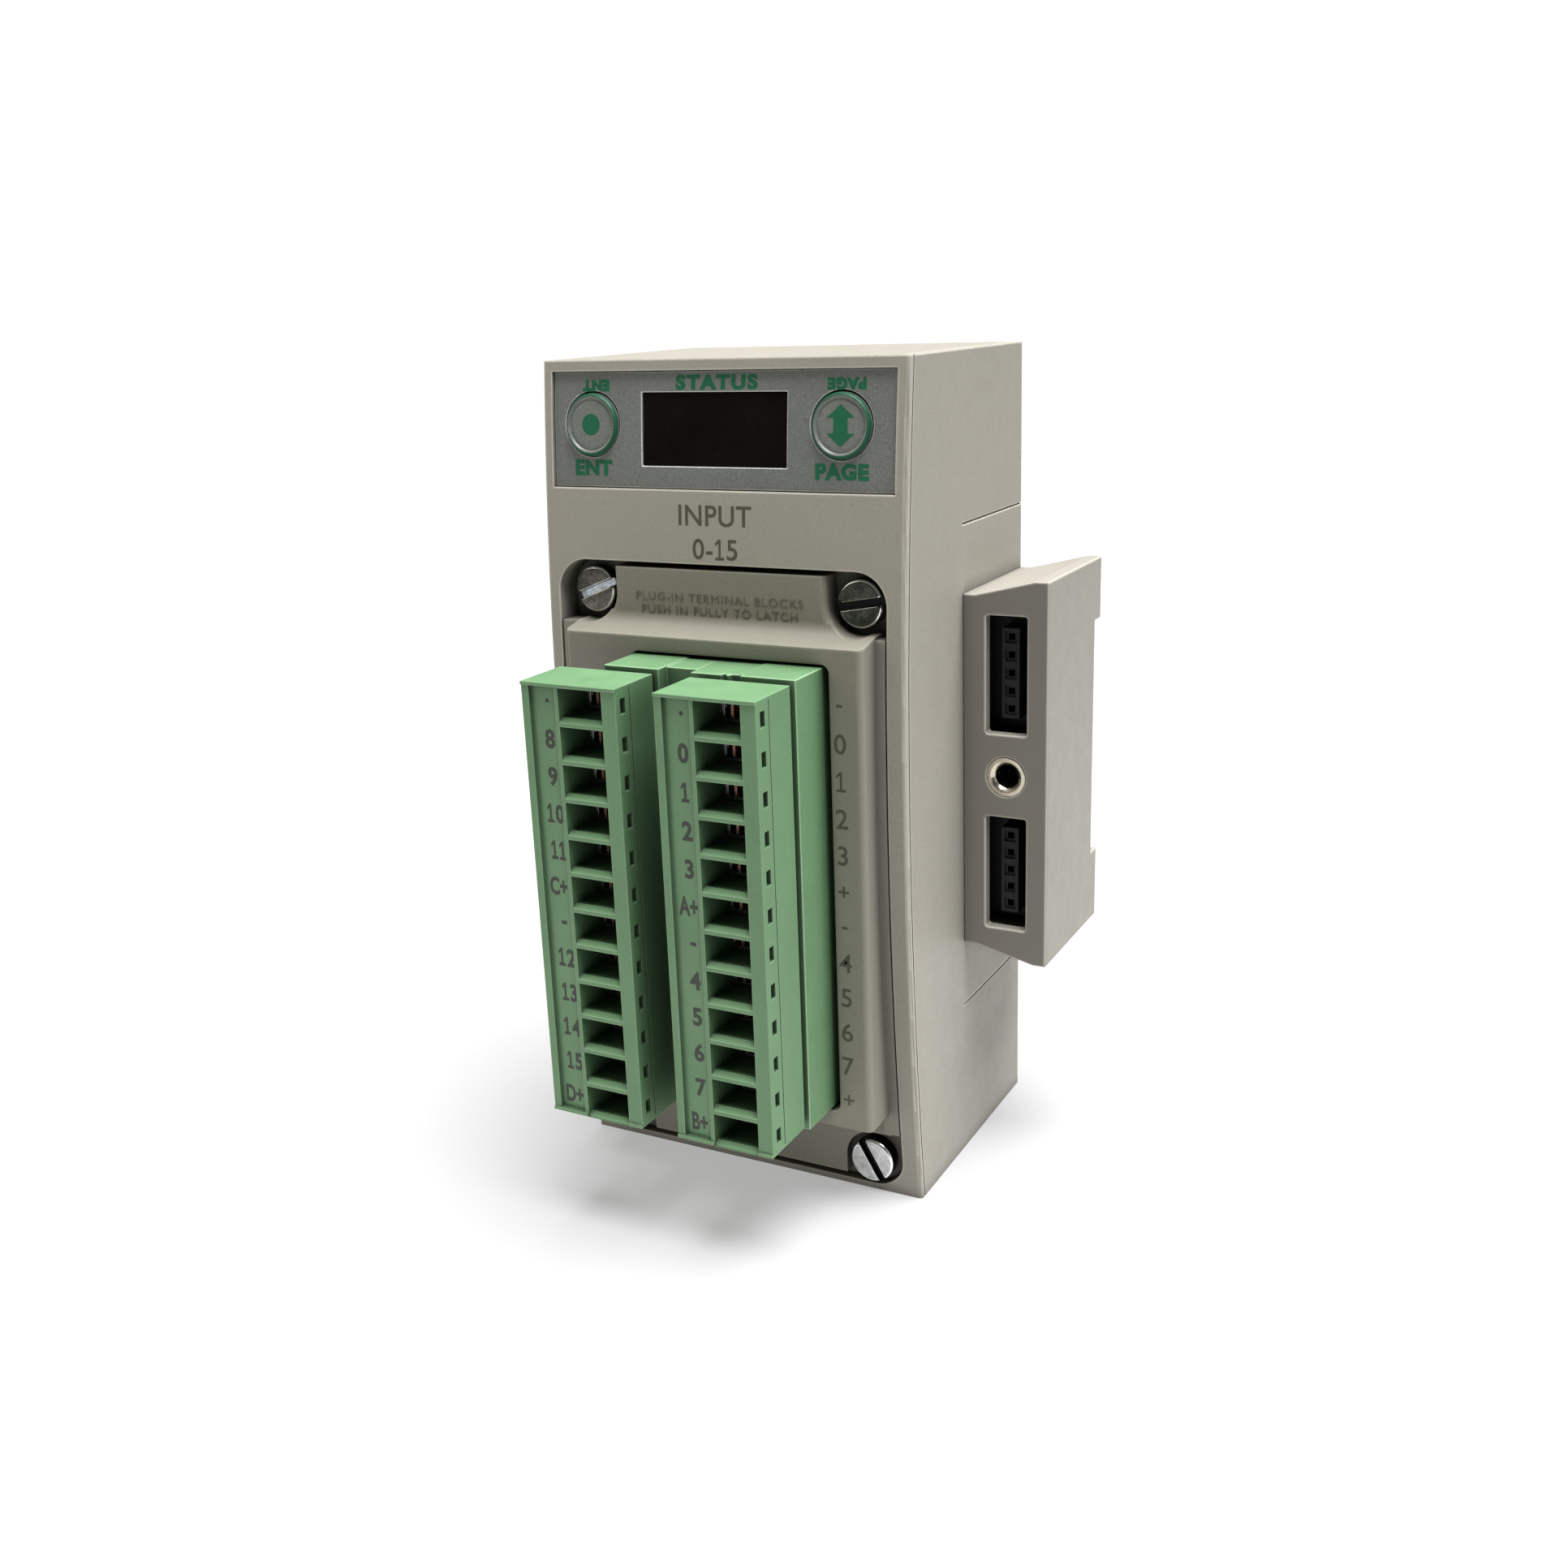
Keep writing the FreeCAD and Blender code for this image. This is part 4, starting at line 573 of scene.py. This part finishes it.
# ---- overlay print
overlay_low, overlay_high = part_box("overlay_membrane")
window_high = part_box("display_window")[1]
KEY_WORDS = {"select": "ENT", "page": "PAGE"}
for key, words in KEY_WORDS.items():
    key_middle = middle(f"{key}_key")
    lettering(f"{key}_label", words, 2.15, (key_middle.x + 0.1 * MM, overlay_low.z + 2.55 * MM),
              on_overlay, PRINT_GREEN, "housing", "overlay_film", bold=0.062, spacing=1.1,
              squeeze=1.12)
    lettering(f"{key}_label_turned", words, 1.55,
              (key_middle.x + 0.6 * MM, overlay_high.z - 1.75 * MM), on_overlay, PRINT_GREEN,
              "housing", "overlay_film", turned=True, bold=0.075, spacing=1.12, squeeze=1.12)
lettering("status_label", "STATUS", 2.0, (middle("display_window").x + 0.5 * MM,
                                           (window_high.z + overlay_high.z) / 2 - 0.05 * MM),
          on_overlay, PRINT_GREEN, "housing", "overlay_film", bold=0.06, spacing=1.2,
          squeeze=1.25)

# ---- housing print
plate_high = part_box("terminal_plate")[1]
text_x = middle("terminal_plate").x
for line, (words, rise) in enumerate((("INPUT", 6.7), ("0-15", 2.3))):
    lettering(f"housing_label_{line}", words, 2.75, (text_x + 0.1 * MM, plate_high.z + rise * MM),
              on_front, ETCHED, "housing", "housing_plastic", spacing=1.05, bold=0.012)

# ---- terminal plate: two lines of raised text, and the terminals' numbers
BAND_FACE = SHELL_LOW.y + 1.0 * MM       # the plate's upper band, behind the foremost line


def on_plate_band(x, z):
    return BAND_FACE


for line, (words, drop) in enumerate((("PLUG-IN TERMINAL BLOCKS", 4.35),
                                      ("PUSH IN FULLY TO LATCH", 6.1))):
    lettering(f"band_label_{line}", words, 1.15, (text_x + 0.2 * MM, plate_high.z - drop * MM),
              on_plate_band, RAISED, "housing", "housing_plastic", spacing=1.12, squeeze=1.12,
              proud=0.07)

pins_low, pins_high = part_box("header_pins_right")
PIN_HALF = 0.5 * MM
POLES = 12
pole_pitch = (pins_high.z - pins_low.z - 2 * PIN_HALF) / (POLES - 1)
first_pole = pins_high.z - PIN_HALF
header_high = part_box("header_right")[1]
for pole, words in enumerate(("-", "0", "1", "2", "3", "+", "-", "4", "5", "6", "7", "+")):
    height = {"-": 0.35, "+": 1.6}.get(words, 2.7)
    lettering(f"plate_label_{pole}", words, height,
              (header_high.x + 2.35 * MM, first_pole - 1.85 * MM - pole * pole_pitch),
              on_plate, ETCHED, "housing", "housing_plastic", bold=0.008)

# ---- terminal plug print
PLUG_WORDS = {
    "right": (".", "0", "1", "2", "3", "A+", "-", "4", "5", "6", "7", "B+"),
    "left": (".", "8", "9", "10", "11", "C+", "-", "12", "13", "14", "15", "D+"),
}
# The label band is let into the plug's face, and rises a little towards its right side.
BAND_SUNK, BAND_RISE = 0.6 * MM, 0.18 * MM
for side, words in PLUG_WORDS.items():
    plug_low, plug_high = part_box(f"plug_body_{side}")
    band_left = plug_low.x + 1.1 * MM
    band_right = plug_high.x - 9.3 * MM
    face = plug_low.y + 0.25 * MM

    def on_band(x, z, left=band_left, right=band_right, face=face):
        share = (x - left) / (right - left)
        return face + BAND_SUNK - BAND_RISE * share

    for pole, word in enumerate(words):
        height = {".": 0.6, "-": 0.5}.get(word, 2.6)
        if word.endswith("+"):
            squeeze, shift = 0.66, 0.1
        else:
            squeeze, shift = (0.92 if len(word) == 1 else 0.8), 0.55
        nine = word == "9"       # a turned 6, which keeps its shape when it is made bold
        lettering(f"plug_{side}_label_{pole}", "6" if nine else word, height,
                  ((band_left + band_right) / 2 + shift * MM,
                   first_pole - pole * pole_pitch + 0.1 * MM),
                  on_band, PRINT_GREY, f"plug_{side}", "terminal_green", bold=0.035,
                  turned=nine, squeeze=squeeze)

# ---- keys
KEY_LEAN = math.asin((middle("select_key").z - BOW_CENTRE_Z) / BOW_RADIUS)
STEPS = 96           # round a solid of revolution
ON_AXIS = 1e-9       # a smaller radius is a point on the axis


def lathe(profile):
    """A closed solid of revolution about +Y from points (radius, along)."""
    made = bmesh.new()
    rings = []
    for radius, along in profile:
        if radius < ON_AXIS:
            rings.append([made.verts.new((0, along, 0))])
            continue
        rings.append([made.verts.new((radius * math.cos(2 * math.pi * i / STEPS), along,
                                      radius * math.sin(2 * math.pi * i / STEPS)))
                      for i in range(STEPS)])
    for first, second in zip(rings, rings[1:]):
        for i in range(STEPS):
            j = (i + 1) % STEPS
            corners = [first[i % len(first)], first[j % len(first)],
                       second[j % len(second)], second[i % len(second)]]
            unique = list(dict.fromkeys(corners))
            made.faces.new(unique)
    bmesh.ops.recalc_face_normals(made, faces=made.faces)
    mesh = bpy.data.meshes.new("lathe")
    made.to_mesh(mesh)
    made.free()
    mesh.polygons.foreach_set("use_smooth", [True] * len(mesh.polygons))
    return mesh


# Millimetres: from the centre of the embossed face outwards, down the skirt and in to the stem.
KEY_PROFILE = [
    (0.0, 0.02), (2.9, 0.03), (3.25, 0.05), (3.38, 0.12), (3.48, 0.16), (3.58, 0.12), (3.68, -0.02),
    (3.78, -0.14), (3.88, -0.18), (3.98, -0.16), (4.10, -0.04), (4.22, 0.16), (4.32, 0.34),
    (4.36, 0.46), (4.37, 0.60), (4.37, 1.15), (4.30, 1.25), (1.50, 1.25), (1.50, 3.90),
    (1.40, 3.95), (0.0, 3.95),
]
RING_PROFILE = [(3.90, -0.165), (3.92, -0.200), (4.00, -0.185), (4.125, -0.060), (4.245, 0.145),
                (4.345, 0.330), (4.29, 0.335), (4.19, 0.18), (4.07, -0.02), (3.97, -0.14),
                (3.90, -0.165)]
ARROW = [(0.0, 2.65), (1.92, 0.98), (1.0, 0.98), (1.0, -0.98), (1.92, -0.98), (0.0, -2.65),
         (-1.92, -0.98), (-1.0, -0.98), (-1.0, 0.98), (-1.92, 0.98)]
DOT_RADIUS, DOT_CORNERS = 1.42, 48
DOT = [(DOT_RADIUS * math.sin(2 * math.pi * i / DOT_CORNERS),
        DOT_RADIUS * math.cos(2 * math.pi * i / DOT_CORNERS)) for i in range(DOT_CORNERS)]


def key_place(key):
    """Transform from a key's own axes, with +Y inward from the bowed surface, to its place."""
    z = BOW_CENTRE_Z + BOW_RADIUS * math.sin(KEY_LEAN)
    surface = Vector((middle(f"{key}_key").x, bow_y(z), z))
    return Matrix.Translation(surface) @ Matrix.Rotation(-KEY_LEAN, 4, "X")


KEY_SCALE = 0.965 * MM        # keeps the cap's widest ring clear of the overlay's hole
for key, symbol in (("select", DOT), ("page", ARROW)):
    place = key_place(key)
    cap_mesh = lathe([(radius * KEY_SCALE, along * MM) for radius, along in KEY_PROFILE])
    cap_mesh.transform(place)
    cap = piece(f"{key}_key_cap", cap_mesh, LOOKS["key_film"], f"{key}_key")
    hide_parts(f"{key}_key")
    ring_mesh = lathe([(radius * KEY_SCALE, along * MM) for radius, along in RING_PROFILE])
    ring_mesh.transform(place)
    piece(f"{key}_key_ring", ring_mesh, RING_GREEN, f"{key}_key")
    symbol_mesh = slab(symbol, 0.0, 0.06)
    symbol_mesh.transform(place)
    piece(f"{key}_key_symbol", symbol_mesh, PRINT_GREEN, f"{key}_key")

# ---------------------------------------------------------------- floor, lights, camera


def floor_mesh():
    """A flat disc under and round the object."""
    made = bmesh.new()
    bmesh.ops.create_circle(made, cap_ends=True, segments=96, radius=0.5)
    mesh = bpy.data.meshes.new("floor")
    made.to_mesh(mesh)
    made.free()
    return mesh


floor = bpy.data.objects.new("floor", floor_mesh())
SCENE.collection.objects.link(floor)
floor_look = Look("studio_floor", roughness=0.8, specular=0.0)
floor_look.put(floor_look.shader, {"Base Color": (0.29, 0.29, 0.287, 1.0),
                                   "Emission Color": (1.0, 1.0, 1.0, 1.0),
                                   "Emission Strength": 0.37})
floor.data.materials.append(floor_look.material)


def soft_sun(name, towards, strength, spread, colour):
    """A broad, distant studio light shining from the given direction."""
    data = bpy.data.lights.new(name, "SUN")
    data.energy = strength
    data.angle = math.radians(spread)
    data.color = colour
    lamp = bpy.data.objects.new(name, data)
    lamp.rotation_euler = Vector(towards).to_track_quat("Z", "Y").to_euler()
    SCENE.collection.objects.link(lamp)


soft_sun("overhead_light", (0.22, 0.02, 1.0), 8.6, 44, (0.98, 0.985, 1.0))
soft_sun("side_light", (1.0, 0.1, 0.3), 0.55, 50, (0.80, 0.91, 1.0))
soft_sun("front_light", (-0.9, -0.6, 0.6), 0.55, 40, (1.0, 0.97, 0.84))

world = bpy.data.worlds.new("studio")
world.use_nodes = True
nodes, links = world.node_tree.nodes, world.node_tree.links
path = nodes.new("ShaderNodeLightPath")
sky = nodes.new("ShaderNodeMix")
sky.data_type = "RGBA"
sky.inputs[MIX_FIRST].default_value = (0.08, 0.08, 0.078, 1.0)       # light on the object
sky.inputs[MIX_SECOND].default_value = (1.05, 1.05, 1.05, 1.0)       # white behind it
links.new(path.outputs["Is Camera Ray"], sky.inputs[MIX_FACTOR])
links.new(sky.outputs[MIX_RESULT], nodes["Background"].inputs["Color"])
SCENE.world = world
SCENE.view_settings.view_transform = "Standard"

camera_data = bpy.data.cameras.new("camera")
camera_data.lens = 37.85
camera_data.sensor_width = 36.0
camera_data.clip_start = 0.01
camera = bpy.data.objects.new("camera", camera_data)
camera.location = (0.10970, -0.20981, 0.12408)
camera.rotation_euler = tuple(math.radians(angle) for angle in (73.4581, 1.9887, 27.4877))
SCENE.collection.objects.link(camera)
bpy.context.scene.camera = camera
